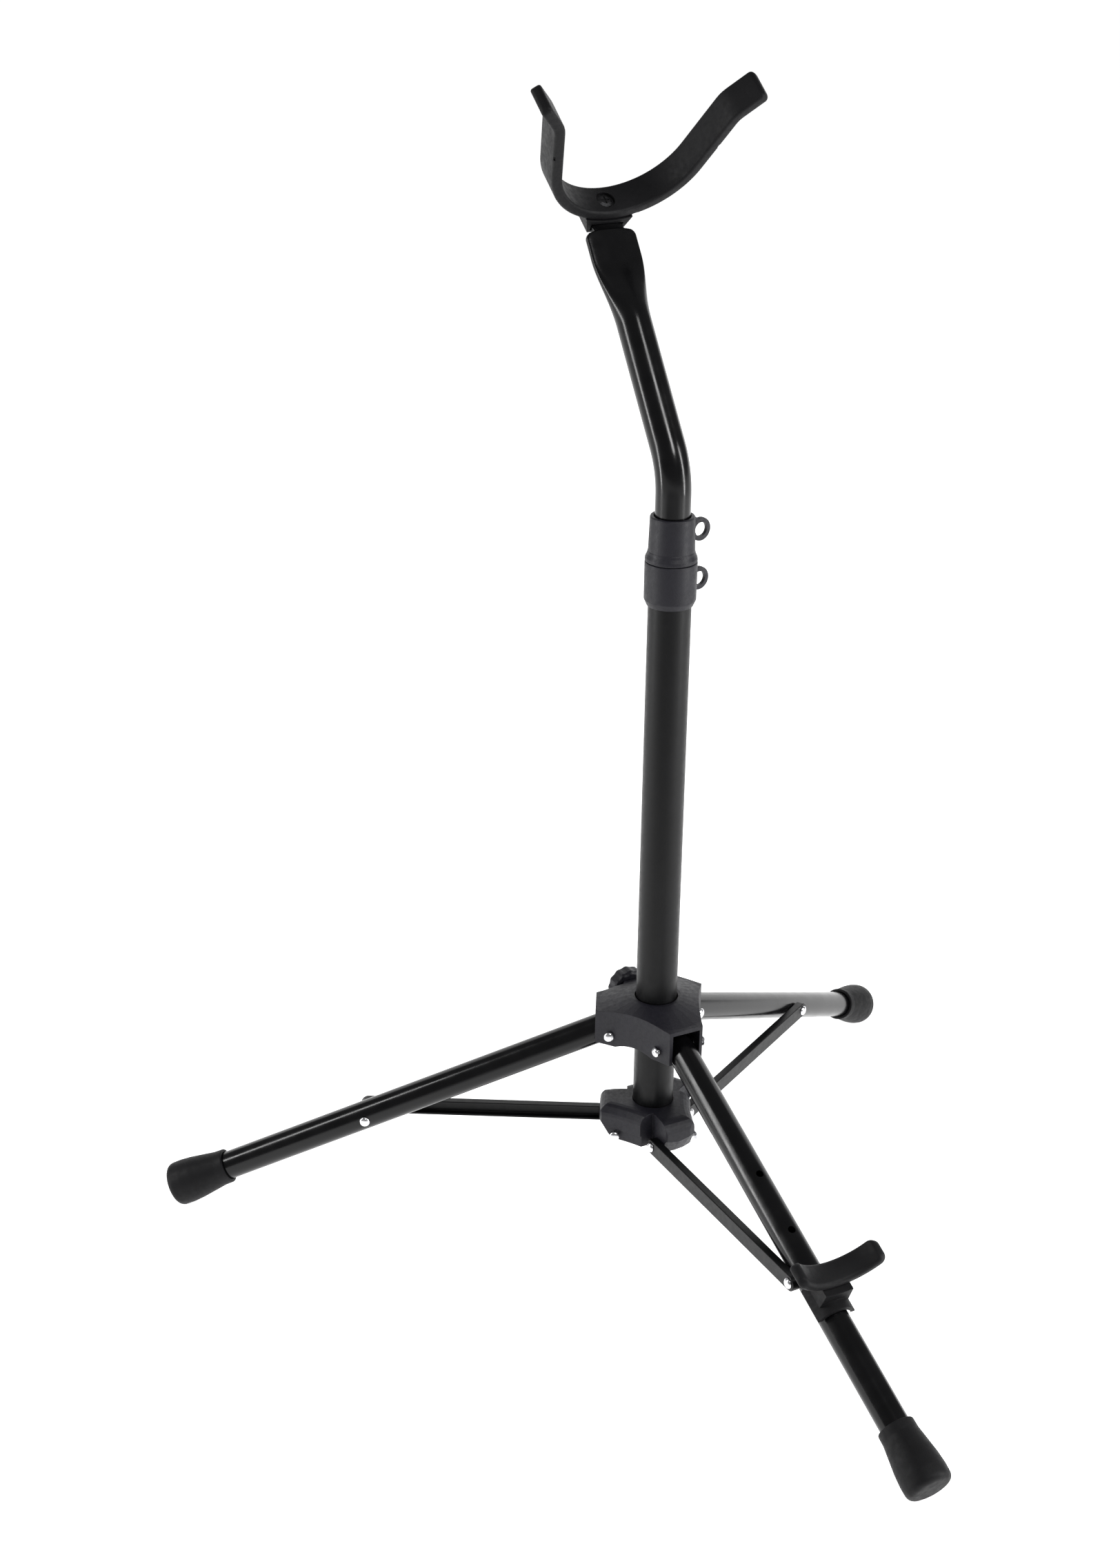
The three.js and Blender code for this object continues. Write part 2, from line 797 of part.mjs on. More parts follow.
// The middle line of the upper tube, in the plane x = 0: straight, one bend, straight again. The
// stations are the places of its rings, as lengths along the line from the floor up.
class MastLine extends THREE.Curve {
  constructor(stations) {
    super();
    this.stations = stations;
  }

  stationAt(share) {
    return this.stations[Math.round(share * (this.stations.length - 1))];
  }

  headingAt(station) {
    const turnedSoFar = THREE.MathUtils.clamp((station - bendStart) / bendLength, 0, 1);
    return tilt * turnedSoFar;
  }

  getPointAt(share, target = new THREE.Vector3()) {
    const station = this.stationAt(share);
    const heading = this.headingAt(station);
    const beyond = Math.max(0, station - bendStart - bendLength);
    const across = MAST.bendRadius * (1 - Math.cos(heading)) + beyond * Math.sin(tilt);
    const up = Math.min(station, bendStart) + MAST.bendRadius * Math.sin(heading);
    return target.set(0, across, up + beyond * Math.cos(tilt));
  }

  getTangentAt(share, target = new THREE.Vector3()) {
    const heading = this.headingAt(this.stationAt(share));
    return target.set(0, Math.sin(heading), Math.cos(heading));
  }
}

// Stations from the bottom, round the bend, and on to a reach measured from the bend's apex.
function mastStations(from, reach, squeezeStep) {
  const bendSteps = 8;
  const stations = [from];
  for (let step = 0; step <= bendSteps; step += 1) {
    stations.push(bendStart + bendLength * (step / bendSteps));
  }
  const apexStation = bendStart + bendLength - bendTangent;
  const end = apexStation + reach;
  let next = apexStation + Math.min(reach, MAST.squeezeFrom);
  while (next < end - squeezeStep / 2) {
    stations.push(next);
    next += squeezeStep;
  }
  stations.push(end);
  return stations;
}

function sweep(stations, radius, sides) {
  const section = new THREE.Shape();
  section.absarc(0, 0, radius, 0, Math.PI * 2, false);
  const extrudePath = new MastLine(stations);
  const steps = stations.length - 1;
  return new THREE.ExtrudeGeometry(section, { steps, extrudePath, curveSegments: sides / 2 });
}

// Squeezes the tube's end between flat jaws: the further along, the wider and thinner it gets.
function squeeze(geometry) {
  const apex = new THREE.Vector3(0, 0, MAST.apex);
  const flatDirection = new THREE.Vector3(0, Math.cos(tilt), -Math.sin(tilt));
  const position = geometry.attributes.position;
  const point = new THREE.Vector3();
  for (let index = 0; index < position.count; index += 1) {
    point.fromBufferAttribute(position, index).sub(apex);
    const along = point.dot(mastDirection);
    const amount = THREE.MathUtils.smoothstep(along, MAST.squeezeFrom, MAST.squeezeTo);
    if (amount > 0) {
      const across = point.dot(flatDirection);
      const share = Math.min(1, Math.abs(across) / MAST.radius);
      const flat = Math.sign(across) * (MAST.bladeThickness / 2) * share ** 0.4;
      const wide = point.x * (MAST.bladeWidth / 2 / MAST.radius);
      point.x = THREE.MathUtils.lerp(point.x, wide, amount);
      const lifted = THREE.MathUtils.lerp(across, flat, amount);
      point.addScaledVector(flatDirection, lifted - across);
      position.setXYZ(index, point.x, point.y, point.z + MAST.apex);
    }
  }
  return geometry;
}

// A frame at a point of the plane x = 0, leaning by an angle about X.
function leaning(geometry, lean, y, z) {
  return geometry.rotateX(lean).translate(0, y, z);
}

// A plate across the plane x = 0 with rounded corners at its far end, along local +Z.
function tonguePlate(width, thickness, from, to, corner) {
  const half = width / 2;
  const shape = new THREE.Shape();
  shape.moveTo(-half, from);
  shape.lineTo(half, from);
  shape.lineTo(half, to - corner);
  shape.absarc(half - corner, to - corner, corner, 0, Math.PI / 2, false);
  shape.lineTo(-half + corner, to);
  shape.absarc(-half + corner, to - corner, corner, Math.PI / 2, Math.PI, false);
  shape.lineTo(-half, from);
  return plate(shape, -thickness / 2, thickness / 2, 4).rotateX(Math.PI / 2);
}

const yokeLean = radians(YOKE.lean);
const tongueLevel = (BOSS.top + BOSS.bottom) / 2;

// Places a solid that was made in the yoke's frame: X across, Y along the band, Z out of its mouth.
function inYoke(geometry) {
  return leaning(geometry, yokeLean, YOKE.back, YOKE.height);
}

function upperTube() {
  const m = MAST;
  const tube = squeeze(sweep(mastStations(m.bottom, m.bladeEnd, m.squeezeStep), m.radius, ROUND));
  const boreStations = mastStations(m.bottom - OVER, m.squeezeFrom + m.squeezeStep, 2 * m.squeezeStep);
  const bore = sweep(boreStations, m.bore, m.boreSides);
  const trim = leaning(
    tonguePlate(m.bladeWidth + m.trimWidth, m.apex * 2, -m.apex, m.bladeEnd - m.trimEnd, m.bladeCorner),
    -tilt,
    0,
    m.apex,
  );
  const tongueEnd = BOSS.to - BOSS.backWall - m.tongueGap;
  const tongue = inYoke(
    tonguePlate(m.tongueWidth, m.tongueThickness, m.tongueStart, tongueEnd, m.tongueCorner)
      .rotateX(-Math.PI / 2)
      .translate(0, 0, tongueLevel),
  );
  const screwHole = inYoke(rod(YOKE_SCREW.shank + GAP, BOSS.bottom - OVER, 0, SMALL_ROUND));
  const blade = common(cut(tube, bore), trim);
  return part('upper_tube', cut(join(blade, tongue), screwHole), glossPaint());
}

function guideBush() {
  const geometry = pipe(BUSH.outer, BUSH.inner, BUSH.bottom, BUSH.bottom + BUSH.height);
  return part('guide_bush', geometry, darkPlastic());
}

// ---------------------------------------------------------------- yoke
// Half of the band's middle line, from the bottom to the tip, as [across, up] points, together with
// the direction it runs in.
function yokeHalfLine() {
  const y = YOKE;
  const line = [];
  let heading = 0;
  let across = 0;
  let up = 0;
  const arc = (radius, angle, turn, steps) => {
    const step = radians(angle) / steps;
    for (let index = 0; index < steps; index += 1) {
      const chord = 2 * radius * Math.sin(step / 2);
      heading += turn * step / 2;
      across += chord * Math.cos(heading);
      up += chord * Math.sin(heading);
      heading += turn * step / 2;
      line.push({ across, up, heading });
    }
  };
  const straight = (length) => {
    across += length * Math.cos(heading);
    up += length * Math.sin(heading);
    line.push({ across, up, heading });
  };
  arc(y.bottomRadius, y.bottomAngle, 1, 12);
  straight(y.sideStraight);
  arc(y.kinkRadius, y.kinkAngle, -1, 4);
  straight(y.flareStraight);
  return line;
}

// The outline of a band of a given thickness that follows a half line and its mirror image.
function bandOutline(halfLine, thickness, trim, corner) {
  const half = thickness / 2;
  const last = halfLine[halfLine.length - 1];
  const end = {
    across: last.across - trim * Math.cos(last.heading),
    up: last.up - trim * Math.sin(last.heading),
    heading: last.heading,
  };
  const right = [{ across: 0, up: 0, heading: 0 }, ...halfLine.slice(0, -1), end];
  const offset = ({ across, up, heading }, side) => [
    across + side * Math.sin(heading),
    up - side * Math.cos(heading),
  ];
  const back = {
    across: end.across - corner * Math.cos(end.heading),
    up: end.up - corner * Math.sin(end.heading),
    heading: end.heading,
  };
  const outside = [...right.slice(0, -1), back].map((at) => offset(at, half));
  const inside = [...right.slice(0, -1), back].map((at) => offset(at, -half));
  const tip = [offset(end, half - corner), offset(end, corner - half)];
  const rightHalf = [...outside, ...tip, ...inside.reverse()];
  const mirrored = rightHalf.slice(1, -1).reverse().map(([x, y]) => [-x, y]);
  return outline([...rightHalf, ...mirrored]);
}

// A band solid: the outline stands in the local XZ plane, and its width runs along local Y.
function band(halfLine, thickness, width, trim, corner) {
  const shape = bandOutline(halfLine, thickness, trim, corner);
  return plate(shape, -width / 2, width / 2).rotateX(Math.PI / 2);
}

function yokeCover() {
  const y = YOKE;
  const line = yokeHalfLine();
  const skin = band(line, y.bandThickness, y.bandWidth, 0, y.endRound);
  const pocket = band(line, y.strapThickness + 2 * GAP, y.strapWidth + 2 * GAP, y.strapInset, POCKET_CORNER);
  const recess = rod(y.recess, 0, y.bandThickness, ROUND);
  const screwWay = rod(YOKE_SCREW.shank + GAP, -y.bandThickness, 0, SMALL_ROUND);
  return part('yoke_cover', inYoke(cut(skin, pocket, recess, screwWay)), rubber());
}

function yokeCore() {
  const y = YOKE;
  const strap = band(yokeHalfLine(), y.strapThickness, y.strapWidth, y.strapInset + GAP, POCKET_CORNER);
  const hole = rod(YOKE_SCREW.shank + GAP, -y.bandThickness, y.bandThickness, SMALL_ROUND);
  return part('yoke_core', inYoke(cut(strap, hole)), plainSteel());
}

// The block under the band: it narrows downward and has a slot for the upper tube's tongue.
function yokeBoss() {
  const b = BOSS;
  const line = yokeHalfLine();
  const section = outline([
    [-b.bottomWidth / 2, b.bottom],
    [b.bottomWidth / 2, b.bottom],
    [b.topWidth / 2, OVER],
    [-b.topWidth / 2, OVER],
  ]);
  const solid = plate(section, -b.to, -b.from).rotateX(Math.PI / 2);
  const bandSpace = band(line, YOKE.bandThickness + 2 * GAP, b.to * 4, 0, YOKE.endRound);
  const above = block(-b.topWidth, b.topWidth, -b.to * 2, b.to * 2, 0, YOKE.bandThickness);
  const half = MAST.tongueWidth / 2 + GAP;
  const thick = MAST.tongueThickness / 2 + GAP;
  const slot = block(-half, half, b.from - OVER, b.to - b.backWall, tongueLevel - thick, tongueLevel + thick);
  const screwWay = rod(YOKE_SCREW.shank + GAP, b.bottom - OVER, 0, SMALL_ROUND);
  return part('yoke_boss', inYoke(cut(solid, bandSpace, above, slot, screwWay)), rubber());
}

const nutTop = BOSS.bottom - GAP;

function yokeScrew() {
  const s = YOKE_SCREW;
  const seat = YOKE.strapThickness / 2 + GAP;
  const end = nutTop - s.nutHeight - s.point;
  const screw = turned([
    [0, end],
    [s.shank - s.point / 2, end],
    [s.shank, end + s.point / 2],
    [s.shank, seat],
    [s.head, seat],
    [s.head, seat + s.headHeight / 2],
    [s.crown, seat + s.headHeight],
    [0, seat + s.headHeight],
  ], SMALL_ROUND);
  const reach = s.crown;
  const top = seat + s.headHeight;
  const first = block(-reach, reach, -s.slotHalfWidth, s.slotHalfWidth, top - s.slotDepth, top + OVER);
  const second = block(-s.slotHalfWidth, s.slotHalfWidth, -reach, reach, top - s.slotDepth, top + OVER);
  return part('yoke_screw', inYoke(cut(screw, first, second)), plainSteel());
}

function yokeNut() {
  const s = YOKE_SCREW;
  const nut = rod(s.nutAcross / 2 / Math.cos(Math.PI / 6), nutTop - s.nutHeight, nutTop, 6);
  const thread = rod(s.shank + GAP, nutTop - s.nutHeight - OVER, nutTop + OVER, SMALL_ROUND);
  return part('yoke_nut', inYoke(cut(nut, thread)), brightSteel());
}

// ---------------------------------------------------------------- lower cradle
// In the leg frame: X down the leg, Y to its left, Z away from its upper side.
function cradleHalfLine() {
  const c = CRADLE;
  const steps = 8;
  const line = [];
  for (let index = 1; index <= steps; index += 1) {
    const heading = radians(c.bandAngle) * (index / steps);
    line.push({
      across: c.bandRadius * Math.sin(heading),
      up: c.bandRadius * (1 - Math.cos(heading)),
      heading,
    });
  }
  return line;
}

// Turns a band so that its width runs down the leg, and sets it at its place over the sleeve.
function overSleeve(geometry) {
  return geometry.rotateZ(-Math.PI / 2).translate(CRADLE.bandAt, 0, CRADLE.bandLift);
}

function cradleCover() {
  const c = CRADLE;
  const line = cradleHalfLine();
  const skin = band(line, c.bandThickness, c.bandWidth, 0, c.endRound);
  const pocket = band(line, c.strapThickness + 2 * GAP, c.strapWidth + 2 * GAP, c.strapInset, POCKET_CORNER);
  const pegWay = rod(c.pegHead + GAP, -c.bandThickness, 0, SMALL_ROUND);
  return part('cradle_cover', overSleeve(cut(skin, pocket, pegWay)), rubber());
}

function cradleCore() {
  const c = CRADLE;
  const inset = c.strapInset + GAP;
  const strap = band(cradleHalfLine(), c.strapThickness, c.strapWidth, inset, POCKET_CORNER);
  return part('cradle_core', overSleeve(strap), plainSteel());
}

// A saddle that stands over the leg's upper half, with a neck up to the band.
function cradleSleeve() {
  const c = CRADLE;
  const acrossLeg = (shape, from, to) => plate(shape, from, to, ROUND / 2)
    .rotateX(Math.PI / 2)
    .rotateZ(Math.PI / 2);
  const arch = new THREE.Shape();
  const start = Math.asin(c.wallEnd / c.sleeveOuter);
  arch.absarc(0, 0, c.sleeveOuter, start, Math.PI - start, false);
  const outer = acrossLeg(arch, c.sleeveFrom, c.sleeveTo);
  const neck = acrossLeg(outline([
    [-c.neckBottomWidth / 2, c.wallEnd],
    [c.neckBottomWidth / 2, c.wallEnd],
    [c.neckTopWidth / 2, c.bandLift + OVER],
    [-c.neckTopWidth / 2, c.bandLift + OVER],
  ]), c.neckFrom, c.neckTo);
  const bore = alongX(rod(c.sleeveInner, c.sleeveFrom - OVER, c.sleeveTo + OVER));
  const line = cradleHalfLine();
  const bandSpace = overSleeve(band(line, c.bandThickness + 2 * GAP, c.bandWidth * 3, 0, c.endRound));
  const above = block(0, c.sleeveTo * 2, -c.neckBottomWidth, c.neckBottomWidth, c.bandLift, c.bandLift * 2);
  const pegWay = rod(c.peg + GAP, c.sleeveInner - OVER, c.bandLift, SMALL_ROUND).translate(c.bandAt, 0, 0);
  return part('cradle_sleeve', cut(join(outer, neck), bore, bandSpace, above, pegWay), rubber());
}

// The peg stands in a hole of the leg. Its head is moulded in between the neck and the strap.
function cradlePeg() {
  const c = CRADLE;
  const headTop = c.bandLift - c.strapThickness / 2 - GAP * 2;
  const headBottom = headTop - c.pegHeadHeight;
  const peg = turned([
    [0, c.pegTip],
    [c.peg - c.pegPoint, c.pegTip],
    [c.peg, c.pegTip + c.pegPoint],
    [c.peg, headBottom],
    [c.pegHead, headBottom],
    [c.pegHead, headTop],
    [0, headTop],
  ], SMALL_ROUND);
  return part('cradle_peg', peg.translate(c.bandAt, 0, 0), plainSteel());
}

function lowerCradle() {
  const pieces = [cradleSleeve(), cradleCover(), cradleCore(), cradlePeg()];
  return branch(LEG_AZIMUTHS.front, legFrame(...pieces));
}

// ---------------------------------------------------------------- the whole stand
function saxophoneStand() {
  const stand = new THREE.Group();
  stand.add(
    columnTube(),
    columnEndPlug(),
    lowerHub(),
    lowerHubScrew(),
    columnCollar(),
    upperHub(),
    clampInsert(),
    clampScrew(),
    hubKnob(),
    ...legBranches(),
    lockCollar(),
    collet(),
    guideBush(),
    upperTube(),
    yokeCore(),
    yokeCover(),
    yokeBoss(),
    yokeScrew(),
    yokeNut(),
    lowerCradle(),
  );
  stand.updateMatrixWorld(true);
  const box = new THREE.Box3().setFromObject(stand, true);
  const centre = box.getCenter(new THREE.Vector3());
  stand.position.set(-centre.x, -centre.y, 0);
  return stand;
}

export default saxophoneStand();
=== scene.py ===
"""Looks for the folding saxophone stand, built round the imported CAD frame. Metres, +Z up."""

import json
import math

import bmesh
import bpy
from mathutils import Matrix, Vector


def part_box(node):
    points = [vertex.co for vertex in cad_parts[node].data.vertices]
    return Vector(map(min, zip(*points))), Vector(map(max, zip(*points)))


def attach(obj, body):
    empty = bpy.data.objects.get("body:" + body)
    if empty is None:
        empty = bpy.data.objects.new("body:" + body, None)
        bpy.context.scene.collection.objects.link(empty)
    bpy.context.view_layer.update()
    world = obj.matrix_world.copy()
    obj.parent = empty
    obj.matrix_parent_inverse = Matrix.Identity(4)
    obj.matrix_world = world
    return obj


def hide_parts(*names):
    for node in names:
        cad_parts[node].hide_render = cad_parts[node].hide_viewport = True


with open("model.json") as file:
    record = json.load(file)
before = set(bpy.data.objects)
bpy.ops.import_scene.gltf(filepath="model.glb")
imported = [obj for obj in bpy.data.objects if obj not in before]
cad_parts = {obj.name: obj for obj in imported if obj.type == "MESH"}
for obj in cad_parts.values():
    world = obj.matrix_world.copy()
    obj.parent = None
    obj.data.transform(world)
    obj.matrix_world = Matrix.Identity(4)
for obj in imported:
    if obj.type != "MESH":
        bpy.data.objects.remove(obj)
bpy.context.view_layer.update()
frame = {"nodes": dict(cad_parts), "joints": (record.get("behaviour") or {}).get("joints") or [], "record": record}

MM = 0.001
ON_AXIS = 1e-6
MERGE_DISTANCE = 1e-6
FINE_SIDES = 128
TUBE_SIDES = 96
CUTTER_SIDES = 64
BORE_SIDES = 48
HOLE_SIDES = 32

# ---------------------------------------------------------------- places, from the frame


def centre(node):
    low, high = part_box(node)
    return (low + high) / 2


def joint(name):
    return next(entry for entry in frame["joints"] if entry["name"] == name)


COLUMN_AXIS = Matrix.Translation((centre("column_tube").x, centre("column_tube").y, 0))
LEG_NAMES = ("front", "left", "right")
SLOPE = math.acos(joint("cradle_lift")["axis"][2])


def heights(node):
    """The lowest and highest z of a CAD node, in millimetres."""
    low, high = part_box(node)
    return low.z / MM, high.z / MM


def branch_matrix(name):
    """A frame on the column's axis whose +X points out along a leg and +Y to the leg's left."""
    left = Vector(joint(f"leg_{name}_fold")["axis"])
    azimuth = math.atan2(-left.x, left.y)
    return COLUMN_AXIS @ Matrix.Rotation(azimuth, 4, "Z")


def leg_matrix(name):
    """A frame at the leg's pivot whose +X runs down the leg and +Z stands off its upper side."""
    pivot = Vector(joint(f"leg_{name}_fold")["pos_m"])
    turn = branch_matrix(name).to_3x3().to_4x4() @ Matrix.Rotation(SLOPE, 4, "Y")
    return Matrix.Translation(pivot) @ turn


# ---------------------------------------------------------------- camera

CAMERA_DISTANCE = 1.3029
CAMERA_HEIGHT = 0.8929
CAMERA_AZIMUTH = math.radians(-30.87)
LOOK_AZIMUTH = math.radians(-28.15)
LOOK_DOWN = math.radians(24.30)
CAMERA_ROLL = math.radians(0.83)
LENS = 76.82
SENSOR = 36.0


def around_column(distance, azimuth, height):
    """A place in metres at an azimuth counted from the camera's, in degrees to the right."""
    turn = CAMERA_AZIMUTH + math.radians(azimuth)
    offset = Vector((math.sin(turn), -math.cos(turn), 0)) * distance
    return COLUMN_AXIS.translation + offset + Vector((0, 0, height))


def add_camera():
    """A camera beside the front leg that looks down at the stand."""
    data = bpy.data.cameras.new("camera")
    data.sensor_fit = "HORIZONTAL"
    data.sensor_width = SENSOR
    data.lens = LENS
    data.clip_start = 0.05
    data.clip_end = 50
    camera = bpy.data.objects.new("camera", data)
    bpy.context.scene.collection.objects.link(camera)
    forward = Vector((
        -math.sin(LOOK_AZIMUTH) * math.cos(LOOK_DOWN),
        math.cos(LOOK_AZIMUTH) * math.cos(LOOK_DOWN),
        -math.sin(LOOK_DOWN),
    ))
    right = forward.cross(Vector((0, 0, 1))).normalized()
    up = right.cross(forward)
    rolled_right = right * math.cos(CAMERA_ROLL) + up * math.sin(CAMERA_ROLL)
    rolled_up = up * math.cos(CAMERA_ROLL) - right * math.sin(CAMERA_ROLL)
    turn = Matrix((rolled_right, rolled_up, -forward)).transposed().to_4x4()
    place = around_column(CAMERA_DISTANCE, 0, CAMERA_HEIGHT)
    camera.matrix_world = Matrix.Translation(place) @ turn
    bpy.context.scene.camera = camera


# ---------------------------------------------------------------- mesh helpers


def make_piece(name, bm, material, body, nodes, sharp=32.0):
    """Turns a bmesh into a piece that rides on a body and stands for CAD nodes."""
    bmesh.ops.recalc_face_normals(bm, faces=bm.faces)
    mesh = bpy.data.meshes.new(name)
    bm.to_mesh(mesh)
    bm.free()
    mesh.shade_smooth()
    mesh.set_sharp_from_angle(angle=math.radians(sharp))
    mesh.materials.append(material)
    piece = bpy.data.objects.new(name, mesh)
    bpy.context.scene.collection.objects.link(piece)
    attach(piece, body)
    if nodes:
        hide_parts(*nodes)
    return piece


def connect(bm, rings, closed):
    """Quads between rings of equal size; a ring of one vertex makes a fan."""
    pairs = list(zip(rings, rings[1:]))
    if closed:
        pairs.append((rings[-1], rings[0]))
    for low, high in pairs:
        count = max(len(low), len(high))
        for index in range(count):
            after = (index + 1) % count
            corners = []
            for ring, places in ((low, (index, after)), (high, (after, index))):
                for place in places:
                    vertex = ring[place % len(ring)]
                    if vertex not in corners:
                        corners.append(vertex)
            if len(corners) > 2:
                bm.faces.new(corners)


def loft(rings, matrix=None, closed=False, cap=True, scale=MM):
    """A bmesh through rings of points in millimetres. Open lofts get flat end caps."""
    bm = bmesh.new()
    place = matrix or Matrix.Identity(4)
    made = [[bm.verts.new(place @ (Vector(point) * scale)) for point in ring] for ring in rings]
    connect(bm, made, closed)
    if cap and not closed:
        for ring in (made[0], made[-1]):
            if len(ring) > 2:
                bm.faces.new(ring)
    return bm


def fillet(points, steps=5):
    """A polyline's corners turned into arcs. Each point is (x, y, corner radius)."""
    result = []
    count = len(points)
    for index, (x, y, radius) in enumerate(points):
        corner = Vector((x, y))
        if radius <= 0 or index in (0, count - 1):
            result.append((x, y))
            continue
        before = Vector(points[index - 1][:2]) - corner
        after = Vector(points[index + 1][:2]) - corner
        half = before.angle(after) / 2
        reach = min(radius / math.tan(half), before.length * 0.49, after.length * 0.49)
        start = corner + before.normalized() * reach
        end = corner + after.normalized() * reach
        for step in range(steps + 1):
            share = step / steps
            blend_point = start * (1 - share) ** 2 + corner * 2 * share * (1 - share) + end * share**2
            result.append((blend_point.x, blend_point.y))
    return result


def turned_rings(profile, segments):
    """Rings for a solid of revolution about Z, from (radius, z) points."""
    rings = []
    for radius, z in profile:
        if radius < ON_AXIS:
            rings.append([(0, 0, z)])
            continue
        ring = []
        for index in range(segments):
            angle = 2 * math.pi * index / segments
            ring.append((radius * math.cos(angle), radius * math.sin(angle), z))
        rings.append(ring)
    return rings


def turned(profile, matrix, segments=TUBE_SIDES):
    """A solid of revolution. The profile starts and ends on the axis, or it closes on itself."""
    closed = profile[0][0] > ON_AXIS
    return loft(turned_rings(profile, segments), matrix, closed=closed)


def rounded_pipe(outer, inner, low, high, edge):
    """The closed profile of a tube with rounded outer edges."""
    corners = [
        (inner, low, 0),
        (outer, low, edge),
        (outer, high, edge),
        (inner, high, 0),
        (inner, low, 0),
    ]
    return fillet(corners)[:-1]


def round_edges(piece, width, segments, angle):
    """Rounds a piece's edges that are sharper than an angle, by a width in millimetres."""
    bevel = piece.modifiers.new("edges", "BEVEL")
    bevel.width = width * MM
    bevel.segments = segments
    bevel.limit_method = "ANGLE"
    bevel.angle_limit = math.radians(angle)
    bevel.harden_normals = False
    bevel.use_clamp_overlap = True


def cut_away(bm, cutters):
    """Subtracts closed bmeshes from a bmesh and returns the result as a new bmesh."""
    target = scratch_object("cut_target", bm)
    tools = [scratch_object(f"cut_tool_{index}", cutter) for index, cutter in enumerate(cutters)]
    for tool in tools:
        boolean = target.modifiers.new("cut", "BOOLEAN")
        boolean.operation = "DIFFERENCE"
        boolean.solver = "EXACT"
        boolean.object = tool
    depsgraph = bpy.context.evaluated_depsgraph_get()
    result = bmesh.new()
    result.from_mesh(target.evaluated_get(depsgraph).to_mesh())
    bmesh.ops.remove_doubles(result, verts=result.verts, dist=MERGE_DISTANCE)
    for used in [target, *tools]:
        mesh = used.data
        bpy.data.objects.remove(used)
        bpy.data.meshes.remove(mesh)
    return result


def scratch_object(name, bm):
    """An object that is there only while a boolean is worked out."""
    bmesh.ops.recalc_face_normals(bm, faces=bm.faces)
    mesh = bpy.data.meshes.new(name)
    bm.to_mesh(mesh)
    bm.free()
    made = bpy.data.objects.new(name, mesh)
    bpy.context.scene.collection.objects.link(made)
    return made


def box_mesh(low, high, matrix=None):
    """A closed box between two corners, in millimetres, used as a cutter."""
    ring = [(low[0], low[1]), (high[0], low[1]), (high[0], high[1]), (low[0], high[1])]
    return loft([[(x, y, low[2]) for x, y in ring], [(x, y, high[2]) for x, y in ring]], matrix)


def rod_mesh(radius, low, high, matrix, segments):
    """A closed rod along Z, in millimetres, used as a cutter."""
    return turned([(0, low), (radius, low), (radius, high), (0, high)], matrix, segments)


ALONG_X = Matrix.Rotation(math.pi / 2, 4, "Y")


def at(x, y, z):
    """A move by millimetres."""
    return Matrix.Translation(Vector((x, y, z)) * MM)


# ---------------------------------------------------------------- materials


class Nodes:
    """A small helper that adds and links shader nodes in one material."""

    def __init__(self, name):
        self.material = bpy.data.materials.new(name)
        self.material.use_nodes = True
        self.tree = self.material.node_tree
        self.shader = self.tree.nodes["Principled BSDF"]
        self.place = self.add("ShaderNodeTexCoord").outputs["Object"]

    def add(self, kind, **settings):
        node = self.tree.nodes.new(kind)
        for key, value in settings.items():
            setattr(node, key, value)
        return node

    def link(self, source, target):
        self.tree.links.new(source, target)

    def noise(self, scale, detail=3.0, roughness=0.5, stretch=None):
        node = self.add("ShaderNodeTexNoise")
        node.inputs["Scale"].default_value = scale
        node.inputs["Detail"].default_value = detail
        node.inputs["Roughness"].default_value = roughness
        source = self.place
        if stretch:
            mapping = self.add("ShaderNodeMapping")
            mapping.inputs["Scale"].default_value = stretch
            self.link(source, mapping.inputs["Vector"])
            source = mapping.outputs["Vector"]
        self.link(source, node.inputs["Vector"])
        return node.outputs["Fac"]

    def cells(self, scale):
        node = self.add("ShaderNodeTexVoronoi", feature="F1")
        node.inputs["Scale"].default_value = scale
        self.link(self.place, node.inputs["Vector"])
        return node.outputs["Distance"]

    def span(self, source, low, high, from_low=0.35, from_high=0.65):
        node = self.add("ShaderNodeMapRange")
        node.inputs["From Min"].default_value = from_low
        node.inputs["From Max"].default_value = from_high
        node.inputs["To Min"].default_value = low
        node.inputs["To Max"].default_value = high
        self.link(source, node.inputs["Value"])
        return node.outputs["Result"]

    def blend_colors(self, source, first, second):
        ramp = self.add("ShaderNodeValToRGB")
        ramp.color_ramp.elements[0].position = 0.3
        ramp.color_ramp.elements[0].color = (*first, 1)
        ramp.color_ramp.elements[1].position = 0.7
        ramp.color_ramp.elements[1].color = (*second, 1)
        self.link(source, ramp.inputs["Fac"])
        return ramp.outputs["Color"]

    def bump(self, height, strength, distance, under=None):
        node = self.add("ShaderNodeBump")
        node.inputs["Strength"].default_value = strength
        node.inputs["Distance"].default_value = distance
        self.link(height, node.inputs["Height"])
        if under:
            self.link(under, node.inputs["Normal"])
        return node.outputs["Normal"]

    def soft_edges(self, radius):
        node = self.add("ShaderNodeBevel", samples=4)
        node.inputs["Radius"].default_value = radius * MM
        return node.outputs["Normal"]

    def set(self, socket, value):
        self.shader.inputs[socket].default_value = value

    def drive(self, socket, source):
        self.link(source, self.shader.inputs[socket])


def gloss_paint():
    """Gloss black powder coat: a faint, wide orange peel and small changes of gloss."""
    n = Nodes("gloss_paint")
    patches = n.noise(45, 4, 0.55)
    n.drive("Base Color", n.blend_colors(patches, (0.0015, 0.0015, 0.0018), (0.0028, 0.0028, 0.0032)))
    n.drive("Roughness", n.span(n.noise(90, 3, 0.5), 0.16, 0.22))
    n.drive("Normal", n.bump(n.noise(420, 2, 0.4), 0.05, 0.0002))
    n.set("Specular IOR Level", 0.3)
    return n.material


